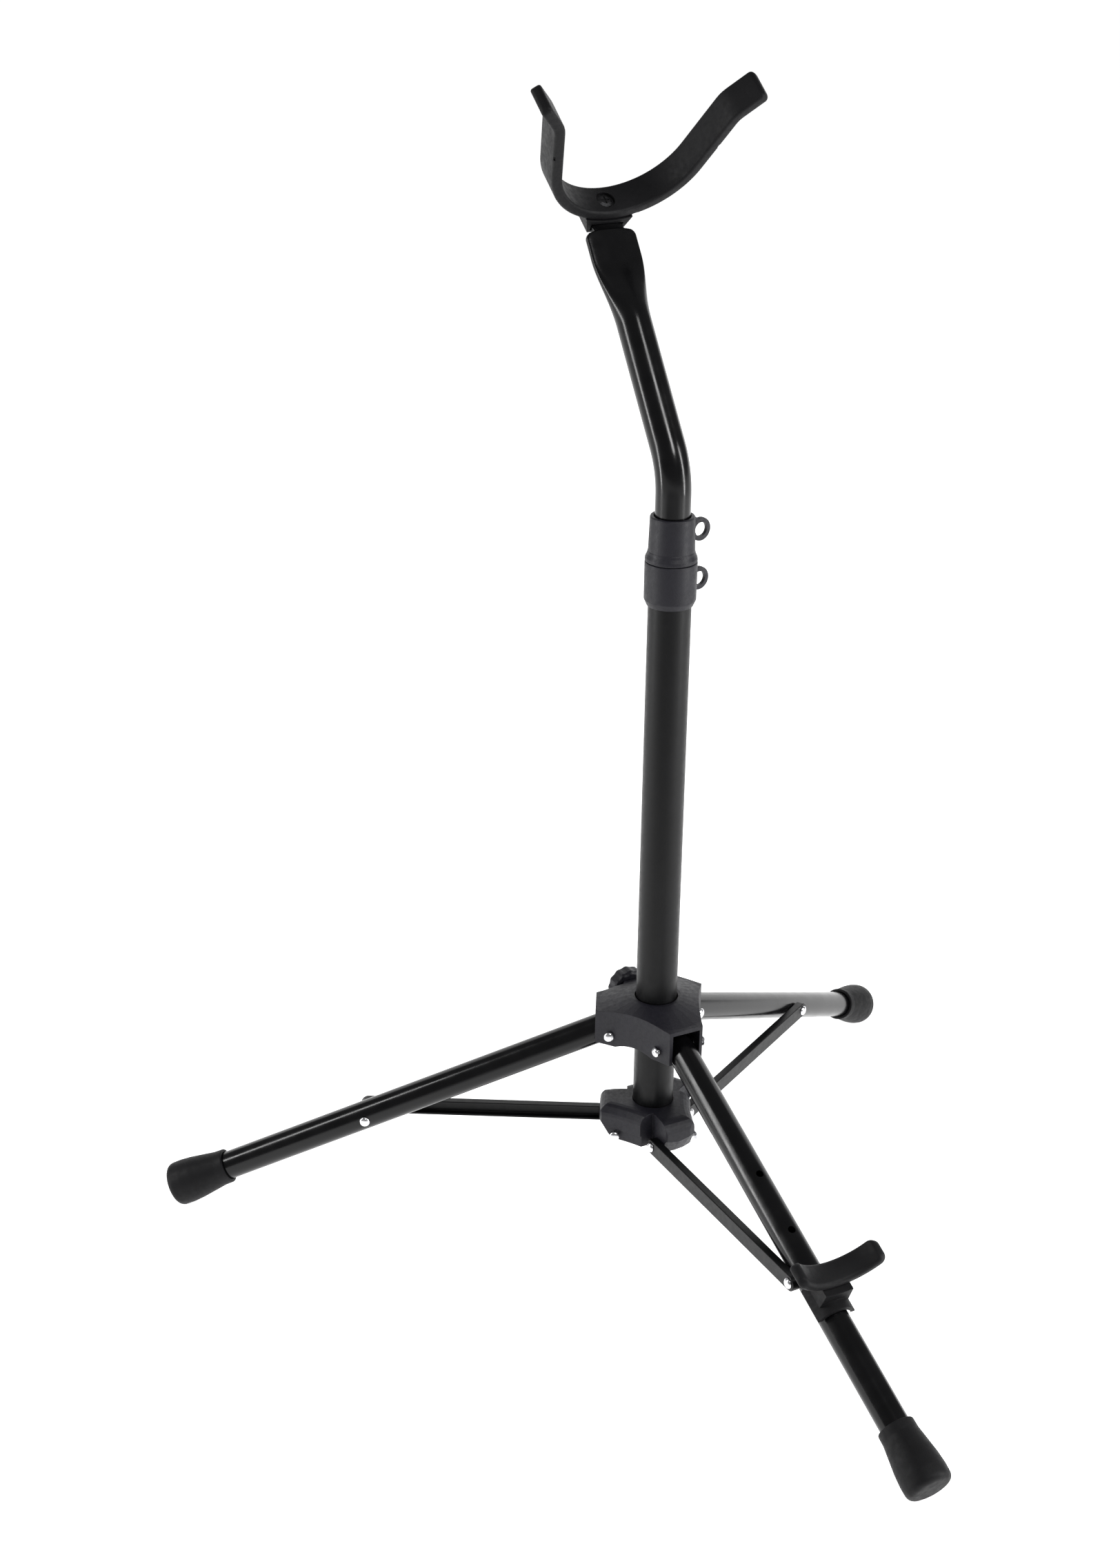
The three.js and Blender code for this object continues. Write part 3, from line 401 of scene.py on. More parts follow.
def satin_paint():
    """Satin black powder coat with a fine, even grain."""
    n = Nodes("satin_paint")
    patches = n.noise(60, 4, 0.6)
    n.drive("Base Color", n.blend_colors(patches, (0.0025, 0.0025, 0.0028), (0.004, 0.004, 0.0045)))
    n.drive("Roughness", n.span(n.noise(260, 4, 0.6), 0.32, 0.42))
    n.drive("Normal", n.bump(n.noise(2600, 3, 0.6), 0.12, 0.0002))
    n.set("Specular IOR Level", 0.2)
    return n.material


def moulded_plastic():
    """Matte black nylon with a spark-eroded grain and soft edges."""
    n = Nodes("moulded_plastic")
    patches = n.noise(70, 5, 0.6)
    n.drive("Base Color", n.blend_colors(patches, (0.0055, 0.0052, 0.0085), (0.0085, 0.008, 0.0125)))
    n.drive("Roughness", n.span(n.noise(420, 4, 0.6), 0.42, 0.56))
    grain = n.bump(n.cells(1500), 0.14, 0.00025, n.soft_edges(0.5))
    n.drive("Normal", n.bump(n.noise(3200, 3, 0.6), 0.1, 0.0002, grain))
    n.set("Specular IOR Level", 0.32)
    return n.material


def soft_rubber():
    """Matte black rubber: mould grain, faint flow marks and soft edges."""
    n = Nodes("soft_rubber")
    bloom = n.noise(38, 6, 0.65)
    n.drive("Base Color", n.blend_colors(bloom, (0.0025, 0.0025, 0.003), (0.0048, 0.0047, 0.0056)))
    n.drive("Roughness", n.span(n.noise(300, 5, 0.6), 0.5, 0.64))
    grain = n.bump(n.noise(1900, 4, 0.65), 0.2, 0.0003, n.soft_edges(0.6))
    n.drive("Normal", n.bump(n.noise(220, 3, 0.5), 0.1, 0.0006, grain))
    n.set("Specular IOR Level", 0.18)
    return n.material


def steel(name, dark, light, low, high):
    """Zinc-plated steel with fine tool marks."""
    n = Nodes(name)
    marks = n.noise(900, 4, 0.6, (1, 1, 6))
    n.drive("Base Color", n.blend_colors(marks, dark, light))
    n.drive("Roughness", n.span(n.noise(500, 4, 0.6), low, high))
    n.drive("Normal", n.bump(marks, 0.08, 0.0001))
    n.set("Metallic", 1.0)
    return n.material


FLOOR_GLOW = 0.86
DARK_GLOW = 0.05
DARK_DISTANCE = 1.75
DARK_RADIUS = 1.45
DARK_CORE = 0.7


def studio_white():
    """A glowing white sweep that is left darker in a round pool where the photographer stands."""
    n = Nodes("studio_white")
    tint = n.noise(1.5, 2, 0.5)
    n.drive("Base Color", n.blend_colors(tint, (0.8, 0.8, 0.8), (0.82, 0.82, 0.82)))
    n.set("Roughness", 0.9)
    n.set("Specular IOR Level", 0.0)
    away = n.add("ShaderNodeVectorMath", operation="DISTANCE")
    n.link(n.place, away.inputs[0])
    away.inputs[1].default_value = around_column(DARK_DISTANCE, 0, 0)
    glow = n.span(away.outputs["Value"], DARK_GLOW, FLOOR_GLOW, DARK_RADIUS * DARK_CORE, DARK_RADIUS)
    n.set("Emission Color", (1, 1, 1, 1))
    n.drive("Emission Strength", glow)
    return n.material


# ---------------------------------------------------------------- column and collars


COLUMN = {"radius": 12.7, "wall": 1.0, "edge": 0.4}
EYELET = {
    "distance": 19.5,
    "azimuth": math.radians(5),
    "outer": 6.7,
    "inner": 4.1,
    "half": 1.3,
    "edge": 0.45,
    "stretch": 1.04,
    "web_half": 1.15,
    "web_end": 4.6,
    "web_tip": 1.5,
    "steps": 48,
}
COLUMN_COLLAR = {
    "bore": 13.0,
    "nose": 13.6,
    "shoulder": 15.2,
    "radius": 15.3,
    "taper": 3.6,
    "eyelet_rise": 12.5,
    "web_from": 14.2,
}
LOCK_COLLAR = {
    "bore": 13.0,
    "radius": 15.3,
    "waist": 13.75,
    "neck": 13.55,
    "top": 12.95,
    "mouth": 10.8,
    "cavity": 12.0,
    "lip": 3.0,
    "floor": 4.0,
    "eyelet_rise": 15.5,
    "web_from": 12.3,
}


def build_column(paint):
    c = COLUMN
    low, high = heights("column_tube")
    profile = rounded_pipe(c["radius"], c["radius"] - c["wall"], low, high, c["edge"])
    tube = turned(profile, COLUMN_AXIS, FINE_SIDES)
    make_piece("column", tube, paint, "column", ["column_tube"])


def eyelet_ring(place):
    """A flat ring that stands upright beside its collar."""
    e = EYELET
    profile = fillet([
        (e["inner"], -e["half"], 0),
        (e["outer"], -e["half"], e["edge"]),
        (e["outer"], e["half"], e["edge"]),
        (e["inner"], e["half"], e["edge"]),
        (e["inner"], -e["half"], e["edge"]),
    ], 3)[:-1]
    rings = []
    for step in range(e["steps"]):
        angle = 2 * math.pi * step / e["steps"]
        across = math.cos(angle)
        up = math.sin(angle) * e["stretch"]
        rings.append([(e["distance"] + radius * across, side, radius * up) for radius, side in profile])
    return loft(rings, place, closed=True)


def eyelet_web(place, web_from):
    """A thin web between the collar and the ring, higher at the collar."""
    e = EYELET
    web_end = e["distance"] - e["web_end"]
    web_tip = e["distance"] - e["web_tip"]
    outline = [(web_from, -5.5), (web_end, -4.2), (web_end, 4.4), (web_tip, 6.3), (web_from, 10.5)]
    sides = (-e["web_half"], e["web_half"])
    return loft([[(x, side, z) for x, z in outline] for side in sides], place)


def build_collar(node, body, outline, eyelet_height, web_from, plastic):
    """A turned collar with its eyelet. The outline is (radius, height, corner radius)."""
    collar = turned(fillet(outline)[:-1], COLUMN_AXIS, FINE_SIDES)
    make_piece(f"{node}_body", collar, plastic, body, [node])
    turn = Matrix.Rotation(EYELET["azimuth"], 4, "Z")
    place = COLUMN_AXIS @ at(0, 0, eyelet_height) @ turn
    make_piece(f"{node}_ring", eyelet_ring(place), plastic, body, [])
    make_piece(f"{node}_web", eyelet_web(place, web_from), plastic, body, [])


def build_column_collar(plastic):
    c = COLUMN_COLLAR
    low, high = heights("column_collar")
    outline = [
        (c["bore"], low, 0),
        (c["nose"], low, 0.2),
        (c["shoulder"], low + c["taper"], 1.2),
        (c["radius"], high, 0.7),
        (c["bore"], high, 0.3),
        (c["bore"], low, 0),
    ]
    build_collar("column_collar", "column", outline, low + c["eyelet_rise"], c["web_from"], plastic)


def build_lock_collar(plastic):
    c = LOCK_COLLAR
    low, high = heights("lock_collar")
    outline = [
        (c["bore"], low, 0),
        (c["radius"], low, 0.7),
        (c["radius"] - 0.2, low + 2.2, 1.6),
        (c["waist"] + 0.35, low + 4.4, 1.4),
        (c["waist"], low + 5.9, 0.3),
        (c["neck"], low + 6.1, 0.2),
        (c["top"], high, 1.3),
        (c["mouth"], high, 0.3),
        (c["mouth"], high - c["lip"], 0),
        (c["cavity"], high - c["lip"], 0),
        (c["cavity"], low + c["floor"], 0),
        (c["bore"], low + c["floor"], 0),
        (c["bore"], low, 0),
    ]
    build_collar("lock_collar", "lock_collar", outline, low + c["eyelet_rise"], c["web_from"], plastic)


# ---------------------------------------------------------------- legs, feet, struts and rivets

LEG = {
    "radius": 9.0,
    "wall": 1.2,
    "start": -5.0,
    "end": 292.0,
    "edge": 0.3,
    "peg_holes": (103, 143, 183),
    "peg_hole_radius": 2.3,
}
FOOT = {"start": 270.0, "end": 309.5, "inner": 9.3, "mouth": 11.1, "seat": 292.3}
RIVET = {"shank": 2.0, "head": 3.3, "dome": 1.75, "head_height": 1.7, "sides": 40}
STRUT = {"half": 5.0, "thick": 5.0, "inner_side": 9.6, "flange": 1.4, "hollow_from": 10.0, "edge": 0.5}


def build_leg(name, paint):
    """A round tube; the front leg's upper side has the holes for the cradle's peg."""
    g = LEG
    profile = rounded_pipe(g["radius"], g["radius"] - g["wall"], g["start"], g["end"], g["edge"])
    tube = turned(profile, leg_matrix(name) @ ALONG_X)
    if name == "front":
        cutters = []
        for along in g["peg_holes"]:
            place = leg_matrix(name) @ at(along, 0, 0)
            cutters.append(rod_mesh(g["peg_hole_radius"], 2, 12, place, HOLE_SIDES))
        tube = cut_away(tube, cutters)
    make_piece(f"leg_tube_{name}", tube, paint, f"leg_{name}", [f"leg_{name}"])


def build_foot(name, rubber):
    """A rubber foot that swells toward its end, worn flat where it stands on the floor."""
    f = FOOT
    outline = fillet([
        (f["inner"], f["start"], 0),
        (f["mouth"], f["start"], 0.8),
        (11.2, 276, 3),
        (12.1, 282, 6),
        (13.7, 293, 8),
        (14.25, 300, 5),
        (14.1, f["end"], 6.5),
        (0, f["end"], 0),
    ], 8)
    profile = outline + [(0, f["seat"]), (f["inner"], f["seat"])]
    rings = turned_rings(profile, TUBE_SIDES)
    bm = loft(rings, leg_matrix(name) @ ALONG_X, cap=False)
    connect_first_last(bm, rings)
    for vertex in bm.verts:
        vertex.co.z = max(vertex.co.z, 0.0)
    bmesh.ops.remove_doubles(bm, verts=bm.verts, dist=MERGE_DISTANCE)
    make_piece(f"foot_cap_{name}", bm, rubber, f"leg_{name}", [f"foot_{name}"])


def connect_first_last(bm, rings):
    """Closes a profile that touches the axis on the way: its last ring back to its first."""
    bm.verts.ensure_lookup_table()
    count = len(rings[0])
    total = len(bm.verts)
    first = [bm.verts[index] for index in range(count)]
    last = [bm.verts[total - count + index] for index in range(count)]
    connect(bm, [last, first], False)


def rivet_profile(low, high, head_low, head_high):
    """A rivet's outline from axis to axis, with a domed head at either or both ends."""
    shank = RIVET["shank"]
    head = RIVET["head"]
    dome = RIVET["dome"]
    profile = []
    steps = 6
    if head_low:
        for step in range(steps + 1):
            angle = math.pi / 2 * step / steps
            profile.append((head * math.sin(angle), low - dome * math.cos(angle)))
        profile.append((shank, low))
    else:
        profile += [(0, low), (shank, low)]
    if head_high:
        profile.append((shank, high))
        for step in range(steps + 1):
            angle = math.pi / 2 * step / steps
            profile.append((head * math.cos(angle), high + dome * math.sin(angle)))
    else:
        profile += [(shank, high), (0, high)]
    profile[0] = (0, profile[0][1])
    profile[-1] = (0, profile[-1][1])
    return profile


def build_rivet(node, body, axis, metal, low_head, high_head):
    """A domed rivet as long as its CAD node along its axis, with the frame's own centre."""
    vertices = [vertex.co.copy() for vertex in frame["nodes"][node].data.vertices]
    direction = Vector(axis).normalized()
    reach = [vertex.dot(direction) for vertex in vertices]
    middle = centre(node)
    base = middle - direction * middle.dot(direction)
    low = min(reach) / MM + (RIVET["head_height"] if low_head else 0)
    high = max(reach) / MM - (RIVET["head_height"] if high_head else 0)
    turn = direction.to_track_quat("Z", "Y").to_matrix().to_4x4()
    place = Matrix.Translation(base) @ turn
    profile = rivet_profile(low, high, low_head, high_head)
    rivet = turned(profile, place, RIVET["sides"])
    make_piece(f"{node}_domed", rivet, metal, body, [node])


def strut_outline(length, half, steps=14):
    """The side view of a bar with half-round ends, as (along, up)."""
    outline = []
    for middle, start in ((length, -math.pi / 2), (0, math.pi / 2)):
        for step in range(steps + 1):
            angle = start + math.pi * step / steps
            outline.append((middle + half * math.cos(angle), half * math.sin(angle)))
    return outline


def build_strut(name, paint):
    """A pressed bar with round ends, hollowed on the side that faces the leg."""
    t = STRUT
    pivot = Vector(joint(f"strut_{name}_fold")["pos_m"])
    outward = leg_matrix(name).to_3x3().col[0].to_2d().normalized()
    length = (centre(f"strut_outer_rivet_{name}") - pivot).to_2d().dot(outward) / MM
    outline = strut_outline(length, t["half"])
    inner = -t["inner_side"]
    outer = inner - t["thick"]
    place = Matrix.Translation(pivot) @ branch_matrix(name).to_3x3().to_4x4()
    bar = loft([[(x, y, z) for x, z in outline] for y in (inner, outer)], place)
    web_half = t["half"] - t["flange"]
    hollow = box_mesh(
        (t["hollow_from"], outer + t["flange"], -web_half),
        (length - t["hollow_from"], inner + 2, web_half),
        place,
    )
    bar = cut_away(bar, [hollow])
    piece = make_piece(f"strut_bar_{name}", bar, paint, f"strut_{name}", [f"strut_{name}"])
    round_edges(piece, t["edge"], 3, 50)


def build_legs(gloss, satin, rubber, bright):
    for name in LEG_NAMES:
        build_leg(name, gloss)
        build_foot(name, rubber)
        build_strut(name, satin)
        left = joint(f"leg_{name}_fold")["axis"]
        build_rivet(f"leg_pivot_rivet_{name}", "upper_hub", left, bright, True, True)
        build_rivet(f"strut_inner_rivet_{name}", "column", left, bright, True, True)
        build_rivet(f"leg_rivet_{name}", f"leg_{name}", left, bright, False, True)
        build_rivet(f"strut_outer_rivet_{name}", f"strut_{name}", left, bright, True, False)


# ---------------------------------------------------------------- upper tube

MAST = {
    "radius": 10.3,
    "wall": 1.1,
    "apex": 500.6,
    "bend": 48.0,
    "tilt": math.radians(34.3),
    "squeeze_from": 88.0,
    "squeeze_to": 128.0,
    "squeeze_step": 1.5,
    "blade_end": 144.2,
    "blade_width": 32.0,
    "blade_thick": 5.0,
    "corner": 4.5,
    "edge": 0.35,
    "bore_length": 100.0,
    "tongue_width": 20.0,
    "tongue_thick": 4.0,
    "tongue_start": -14.0,
    "tongue_end": 9.0,
}
YOKE_LEAN = math.radians(37.3)


def mast_point(along):
    """Place and heading on the tube's middle line; `along` is counted from the bend's apex."""
    m = MAST
    tangent = m["bend"] * math.tan(m["tilt"] / 2)
    arc = m["bend"] * m["tilt"]
    if along <= -tangent:
        return 0.0, m["apex"] + along, 0.0
    if along >= arc - tangent:
        beyond = along - (arc - tangent)
        across = m["bend"] * (1 - math.cos(m["tilt"])) + beyond * math.sin(m["tilt"])
        up = m["apex"] - tangent + m["bend"] * math.sin(m["tilt"]) + beyond * math.cos(m["tilt"])
        return across, up, m["tilt"]
    heading = (along + tangent) / m["bend"]
    across = m["bend"] * (1 - math.cos(heading))
    return across, m["apex"] - tangent + m["bend"] * math.sin(heading), heading


def smoothstep(value, low, high):
    """A soft step from 0 at low to 1 at high."""
    share = min(1.0, max(0.0, (value - low) / (high - low)))
    return share * share * (3 - 2 * share)


def squeezed_section(radius, width, thick, amount, sides):
    """Between a circle (amount 0) and a flat bar with soft edges (amount 1), as (x, y)."""
    section = []
    for index in range(sides):
        angle = 2 * math.pi * index / sides
        c, s = math.cos(angle), math.sin(angle)
        round_x, round_y = radius * c, radius * s
        flat_x = width / 2 * math.copysign(abs(c) ** 0.8, c)
        flat_y = thick / 2 * math.copysign(abs(s) ** 0.4, s)
        section.append((
            round_x + (flat_x - round_x) * amount,
            round_y + (flat_y - round_y) * amount,
        ))
    return section


def mast_ring(across, up, heading, section):
    """A section stood at a place on the middle line: its x is world X, its y leans back."""
    cosine, sine = math.cos(heading), math.sin(heading)
    return [(x, across + y * cosine, up - y * sine) for x, y in section]


def mast_stations(low):
    """Where the upper tube's sections stand: close together round the bend and at the blade."""
    m = MAST
    tangent = m["bend"] * math.tan(m["tilt"] / 2)
    arc = m["bend"] * m["tilt"]
    squeeze_steps = round((m["squeeze_to"] - m["squeeze_from"]) / m["squeeze_step"])
    corner_start = m["blade_end"] - m["corner"]
    bottom = [low - m["apex"], low - m["apex"] + 0.5, -tangent - 60]
    bend = [-tangent + step * arc / 24 for step in range(25)]
    straight = [20 + step * 8.0 for step in range(1, 9)]
    squeeze = [m["squeeze_from"] + step * m["squeeze_step"] for step in range(squeeze_steps)]
    blade = [m["squeeze_to"] + 1.5 + step * 2.5 for step in range(3)]
    corner = [corner_start + m["corner"] * step / 8 for step in range(9)]
    return sorted(set(bottom + bend + straight + squeeze + blade + corner))


def blade_share(left_to_go):
    """The share of its width that the blade keeps at a distance from its round-cornered end."""
    m = MAST
    drop = corner_drop(left_to_go, m["corner"])
    share = 1 - 2 * drop / m["blade_width"]
    return share * 0.99 if left_to_go < m["edge"] else share


def build_upper_tube(paint):
    """The bent tube, squeezed to a flat blade at its end, with the tongue that the yoke sits on."""
    m = MAST
    low = heights("upper_tube")[0]
    tangent = m["bend"] * math.tan(m["tilt"] / 2)
    shift = m["bend"] * m["tilt"] - 2 * tangent
    rings = []
    for along in mast_stations(low):
        across, up, heading = mast_point(along + shift if along > tangent else along)
        amount = smoothstep(along, m["squeeze_from"], m["squeeze_to"])
        section = squeezed_section(m["radius"], m["blade_width"], m["blade_thick"], amount, TUBE_SIDES)
        share = blade_share(m["blade_end"] - along)
        rings.append(mast_ring(across, up, heading, [(x * share, y) for x, y in section]))
    rings += tongue_rings()
    tube = cut_away(loft(rings, COLUMN_AXIS), [bore_mesh(low)])
    make_piece("upper_tube_painted", tube, paint, "mast", ["upper_tube"], 40)


def bore_mesh(low):
    """The hollow of the upper tube, open at its lower end."""
    radius = MAST["radius"] - MAST["wall"]
    place = COLUMN_AXIS @ at(0, 0, low)
    return rod_mesh(radius, -5, MAST["bore_length"], place, BORE_SIDES)


def tongue_rings():
    """The narrow tongue that leaves the blade's end and runs under the yoke."""
    m = MAST
    section = squeezed_section(1, m["tongue_width"], m["tongue_thick"], 1, TUBE_SIDES)
    direction = (math.cos(YOKE_LEAN), math.sin(YOKE_LEAN))
    normal = (-math.sin(YOKE_LEAN), math.cos(YOKE_LEAN))
    start = m["tongue_start"]
    end = m["tongue_end"]
    rings = []
    for along, scale in ((start, 0.98), (start + 0.6, 1.0), (end - 4, 1.0), (end - 1, 0.85), (end, 0.6)):
        ring = []
        for x, thick in section:
            level = YOKE["tongue_level"] - thick
            ring.append((
                x * scale,
                YOKE["back"] + direction[0] * along + normal[0] * level,
                YOKE["height"] + direction[1] * along + normal[1] * level,
            ))
        rings.append(ring)
    return rings


# ---------------------------------------------------------------- yoke

YOKE = {
    "back": 88.5,
    "height": 634.0,
    "width": 19.6,
    "thick": 6.4,
    "bottom_radius": 46.6,
    "bottom_angle": math.radians(74.5),
    "side": 35.0,
    "kink_radius": 15.4,
    "kink_angle": math.radians(25.4),
    "flare": 17.5,
    "edge": 1.5,
    "end_round": 2.2,
    "end_corner": 3.2,
    "recess": 5.6,
    "recess_floor": 0.9,
    "notch_half": 1.4,
    "notch_depth": 1.0,
    "notch_places": (17.0, 78.0),
    "tongue_level": -7.35,
}
BOSS = {
    "top": 2.0,
    "bottom": -11.2,
    "front": -10.5,
    "back": 12.0,
    "top_half": 16.0,
    "bottom_half": 11.5,
    "slot_half": 10.3,
    "slot_low": -9.6,
    "slot_high": -5.1,
    "back_wall": 2.0,
    "band_gap": 0.05,
    "edge": 0.7,
}
CUTTER_REACH = 40


def yoke_matrix():
    """X across the yoke, Y along the band's width, Z out of its mouth."""
    y = YOKE
    return COLUMN_AXIS @ at(0, y["back"], y["height"]) @ Matrix.Rotation(YOKE_LEAN, 4, "X")


def yoke_line(step_length=2.0):
    """Half of the band's middle line as (across, up, heading), from the bottom to the tip."""
    y = YOKE
    line = [(0.0, 0.0, 0.0)]

    def go(length, turn):
        steps = max(1, round(length / step_length))
        for _ in range(steps):
            across, up, heading = line[-1]
            middle = heading + turn / steps / 2
            advance = length / steps
            line.append((
                across + advance * math.cos(middle),
                up + advance * math.sin(middle),
                heading + turn / steps,
            ))

    go(y["bottom_radius"] * y["bottom_angle"], y["bottom_angle"])
    go(y["side"], 0)
    go(y["kink_radius"] * y["kink_angle"], -y["kink_angle"])
    go(y["flare"], 0)
    return line


def lengths_along(line):
    """The distance from a line's start to each of its points."""
    lengths = [0.0]
    for before, after in zip(line, line[1:]):
        lengths.append(lengths[-1] + math.dist(before[:2], after[:2]))
    return lengths


def rounded_rectangle(width, thick, corner, steps=4):
    """A rectangle's outline with round corners, as (width direction, thickness direction)."""
    points = []
    for sx, sy, start in ((1, 1, 0), (-1, 1, 1), (-1, -1, 2), (1, -1, 3)):
        cx = sx * (width / 2 - corner)
        cy = sy * (thick / 2 - corner)
        for step in range(steps + 1):
            angle = math.pi / 2 * (start + step / steps)
            points.append((cx + corner * math.cos(angle), cy + corner * math.sin(angle)))
    return points


def point_along(line, lengths, along):
    """The (across, up, heading) of a line at a distance from its start."""
    index = max(i for i, value in enumerate(lengths) if value <= along + 1e-9)
    index = min(index, len(line) - 2)
    share = (along - lengths[index]) / (lengths[index + 1] - lengths[index])
    return [a + (b - a) * share for a, b in zip(line[index], line[index + 1])]


def band_rings(half_line, width, thick, corner, end_round, end_corner):
    """Rings along a band and its mirror image, with rounded ends."""
    lengths = lengths_along(half_line)
    total = lengths[-1]
    ends = [total - end_corner * (1 - math.cos(math.pi / 2 * step / 8)) for step in range(9)]
    samples = [entry for entry in lengths if entry < total - end_corner] + sorted(ends)
    section = rounded_rectangle(width, thick, corner)
    half = []
    for along in samples:
        across, up, heading = point_along(half_line, lengths, along)
        width_share = (width - 2 * corner_drop(total - along, end_corner)) / width
        thick_share = (thick - 2 * corner_drop(total - along, end_round)) / thick
        ring = []
        for wide, deep in section:
            level = deep * thick_share
            ring.append((
                across - level * math.sin(heading),
                wide * width_share,
                up + level * math.cos(heading),
            ))
        half.append(ring)
    mirrored = []
    for ring in reversed(half[1:]):
        mirrored.append([(-x, y, z) for x, y, z in ring])
    return mirrored + half


def corner_drop(to_go, radius):
    """How far a quarter round of some radius has come in, at a distance from the end."""
    if to_go >= radius:
        return 0.0
    return radius - math.sqrt(max(0.0, radius**2 - (radius - to_go) ** 2))


def notch_places():
    """The small locating notches on the cover's outer front edge, as (across, up, heading)."""
    line = yoke_line()
    lengths = lengths_along(line)
    places = []
    for wanted in YOKE["notch_places"]:
        index = min(range(len(lengths)), key=lambda i: abs(lengths[i] - wanted))
        across, up, heading = line[index]
        places.append((across, up, heading))
        places.append((-across, up, -heading))
    return places


def notch_cutter(place):
    """A box that takes a notch out of the band's front edge, on its outer face."""
    y = YOKE
    front = -y["width"] / 2
    outer = -y["thick"] / 2
    low = (-y["notch_half"], front - 1, outer - 1)
    high = (y["notch_half"], front + y["notch_depth"], outer + 1.2)
    return box_mesh(low, high, place)


def build_yoke(rubber):
    """The rubber cover of the yoke, with the screw's recess in the middle and four notches."""
    y = YOKE
    place = yoke_matrix()
    rings = band_rings(yoke_line(), y["width"], y["thick"], y["edge"], y["end_round"], y["end_corner"])
    cutters = [rod_mesh(y["recess"], y["recess_floor"], 8, place, CUTTER_SIDES)]
    for across, up, heading in notch_places():
        turn = Matrix.Rotation(-heading, 4, "Y")
        cutters.append(notch_cutter(place @ at(across, 0, up) @ turn))
    cover = cut_away(loft(rings, place), cutters)
    piece = make_piece("yoke_rubber", cover, rubber, "mast", ["yoke_cover"], 40)
    round_edges(piece, 0.35, 2, 60)


def build_boss(rubber):
    """The block under the band, narrower downward, with a slot for the tongue."""
    b = BOSS
    place = yoke_matrix()
    rings = []
    for level, half in ((b["bottom"], b["bottom_half"]), (b["top"], b["top_half"])):
        front = [(-half, b["front"], level), (half, b["front"], level)]
        back = [(half, b["back"], level), (-half, b["back"], level)]
        rings.append(front + back)
    slot = box_mesh(
        (-b["slot_half"], b["front"] - 1, b["slot_low"]),
        (b["slot_half"], b["back"] - b["back_wall"], b["slot_high"]),
        place,
    )
    thick = YOKE["thick"] + 2 * b["band_gap"]
    band = loft(band_rings(yoke_line(), 2 * CUTTER_REACH, thick, 0.2, 0.2, 0.3), place)
    above = box_mesh((-CUTTER_REACH, -CUTTER_REACH, 0), (CUTTER_REACH, CUTTER_REACH, 12), place)
    boss = cut_away(loft(rings, place), [slot, band, above])
    piece = make_piece("yoke_boss_moulded", boss, rubber, "mast", ["yoke_boss"])
    round_edges(piece, b["edge"], 3, 40)


# ---------------------------------------------------------------- cradle

CRADLE = {
    "band_at": 183.0,
    "width": 15.0,
    "thick": 6.5,
    "lift": 23.0,
    "radius": 33.5,
    "angle": math.radians(56),
    "edge": 2.2,
    "end_round": 3.0,
    "end_corner": 5.0,
}


def cradle_matrix():
    """X across the leg, Y down the leg, Z out of the cradle's mouth."""
    c = CRADLE
    turn = Matrix.Rotation(-math.pi / 2, 4, "Z")
    return leg_matrix("front") @ at(c["band_at"], 0, c["lift"]) @ turn


def cradle_line():
    """Half of the band's middle line, an arc, as (across, up, heading)."""
    c = CRADLE
    steps = 24
    line = []
    for step in range(steps + 1):
        heading = c["angle"] * step / steps
        line.append((
            c["radius"] * math.sin(heading),
            c["radius"] * (1 - math.cos(heading)),
            heading,
        ))
    return line


def build_cradle(rubber):
    """The rubber cover of the cradle's band."""
    c = CRADLE
    rings = band_rings(cradle_line(), c["width"], c["thick"], c["edge"], c["end_round"], c["end_corner"])
    band = loft(rings, cradle_matrix())
    make_piece("cradle_rubber", band, rubber, "cradle", ["cradle_cover"], 40)


# ---------------------------------------------------------------- CAD nodes that stay


def finish_remaining(materials):
    """The CAD nodes whose shape is already right keep it and take a better material."""
    slots = {entry["node"]: entry["material_slot"] for entry in frame["record"]["subparts"]}
    for name, node in frame["nodes"].items():
        if node.hide_render:
            continue
        node.data.materials.clear()
        node.data.materials.append(materials[slots[name]])
        node.data.set_sharp_from_angle(angle=math.radians(32))
        node.data.shade_smooth()


# ---------------------------------------------------------------- studio


FLOOR_SIZE = 14
FLOOR_GAP = 0.5


def add_floor(material):
    """A wide plain floor just under the feet."""
    bm = bmesh.new()
    bmesh.ops.create_grid(bm, x_segments=2, y_segments=2, size=FLOOR_SIZE)
    mesh = bpy.data.meshes.new("floor")
    bm.to_mesh(mesh)
    bm.free()
    mesh.materials.append(material)
    floor = bpy.data.objects.new("floor", mesh)
    floor.location.z = -FLOOR_GAP * MM
    bpy.context.scene.collection.objects.link(floor)


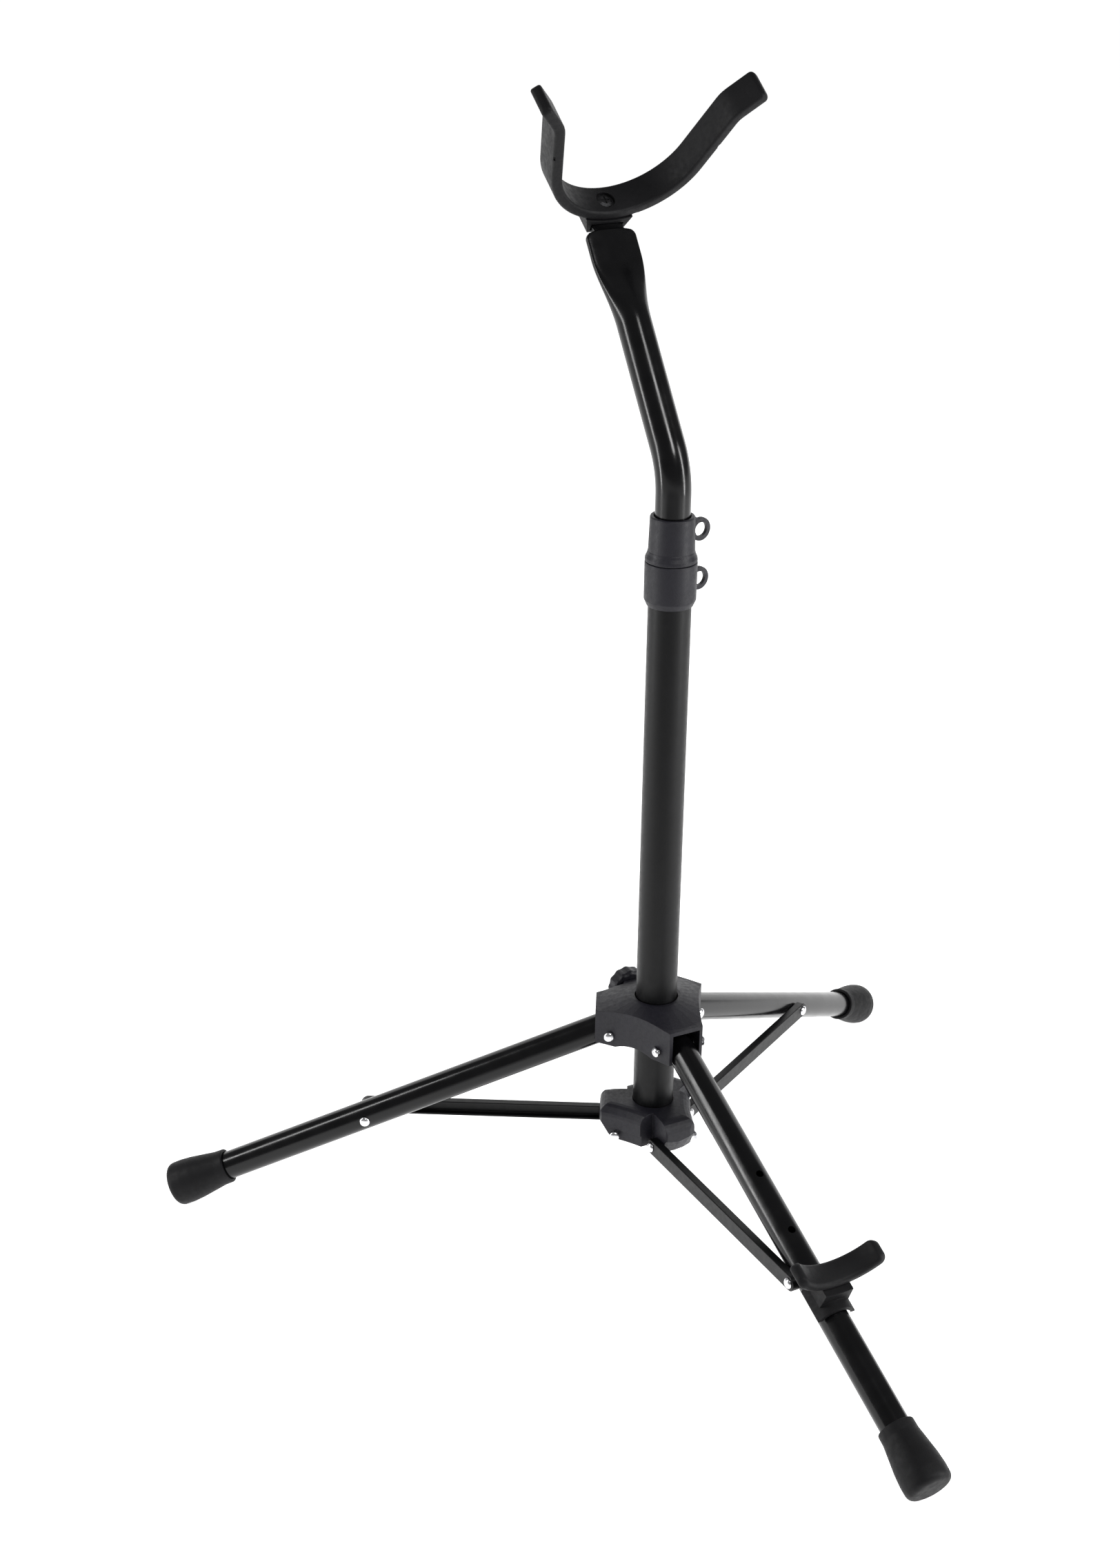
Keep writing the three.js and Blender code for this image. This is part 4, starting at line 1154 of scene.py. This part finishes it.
def add_area_light(name, place, target, size, power):
    """A soft box at a place in metres that is aimed at a target."""
    data = bpy.data.lights.new(name, "AREA")
    data.shape = "RECTANGLE"
    data.size, data.size_y = size
    data.energy = power
    light = bpy.data.objects.new(name, data)
    light.location = place
    direction = Vector(target) - Vector(place)
    light.rotation_euler = direction.to_track_quat("-Z", "Y").to_euler()
    bpy.context.scene.collection.objects.link(light)


def add_world(strength):
    """Plain white light from all round."""
    world = bpy.data.worlds.new("studio")
    world.use_nodes = True
    background = world.node_tree.nodes["Background"]
    background.inputs["Color"].default_value = (1, 1, 1, 1)
    background.inputs["Strength"].default_value = strength
    bpy.context.scene.world = world


def add_studio():
    """Narrow boxes at both sides, one high in front, and a bright wall behind the stand."""
    add_floor(studio_white())
    add_world(0.2)
    base = around_column(0, 0, 0.25)
    middle = around_column(0, 0, 0.4)
    wall = around_column(0, 0, 1.35)
    add_area_light("left_box", around_column(1.5, -78, 0.75), base, (0.2, 1.4), 15)
    add_area_light("right_box", around_column(1.6, 74, 0.75), base, (0.2, 1.4), 20)
    add_area_light("high_box", around_column(1.5, 30, 1.9), middle, (0.4, 0.7), 18)
    add_area_light("backdrop", around_column(2.6, 180, 1.35), wall, (5.0, 2.6), 52)
    bpy.context.scene.view_settings.view_transform = "Standard"


# ---------------------------------------------------------------- the scene


def build():
    """Everything in the picture: camera, pieces, looks and lights."""
    gloss = gloss_paint()
    satin = satin_paint()
    plastic = moulded_plastic()
    rubber = soft_rubber()
    bright = steel("bright_steel", (0.62, 0.62, 0.64), (0.8, 0.8, 0.82), 0.18, 0.3)
    dark_steel = steel("dark_steel", (0.035, 0.035, 0.037), (0.06, 0.06, 0.063), 0.35, 0.5)
    brass = steel("brass_insert", (0.42, 0.3, 0.12), (0.6, 0.44, 0.18), 0.3, 0.4)
    add_camera()
    build_column(satin)
    build_column_collar(plastic)
    build_lock_collar(plastic)
    build_legs(gloss, satin, rubber, bright)
    build_upper_tube(gloss)
    build_yoke(rubber)
    build_boss(rubber)
    build_cradle(rubber)
    finish_remaining({
        "gloss_paint": gloss,
        "satin_paint": satin,
        "black_plastic": plastic,
        "black_rubber": rubber,
        "bright_steel": bright,
        "plain_steel": dark_steel,
        "brass_insert": brass,
    })
    add_studio()


build()
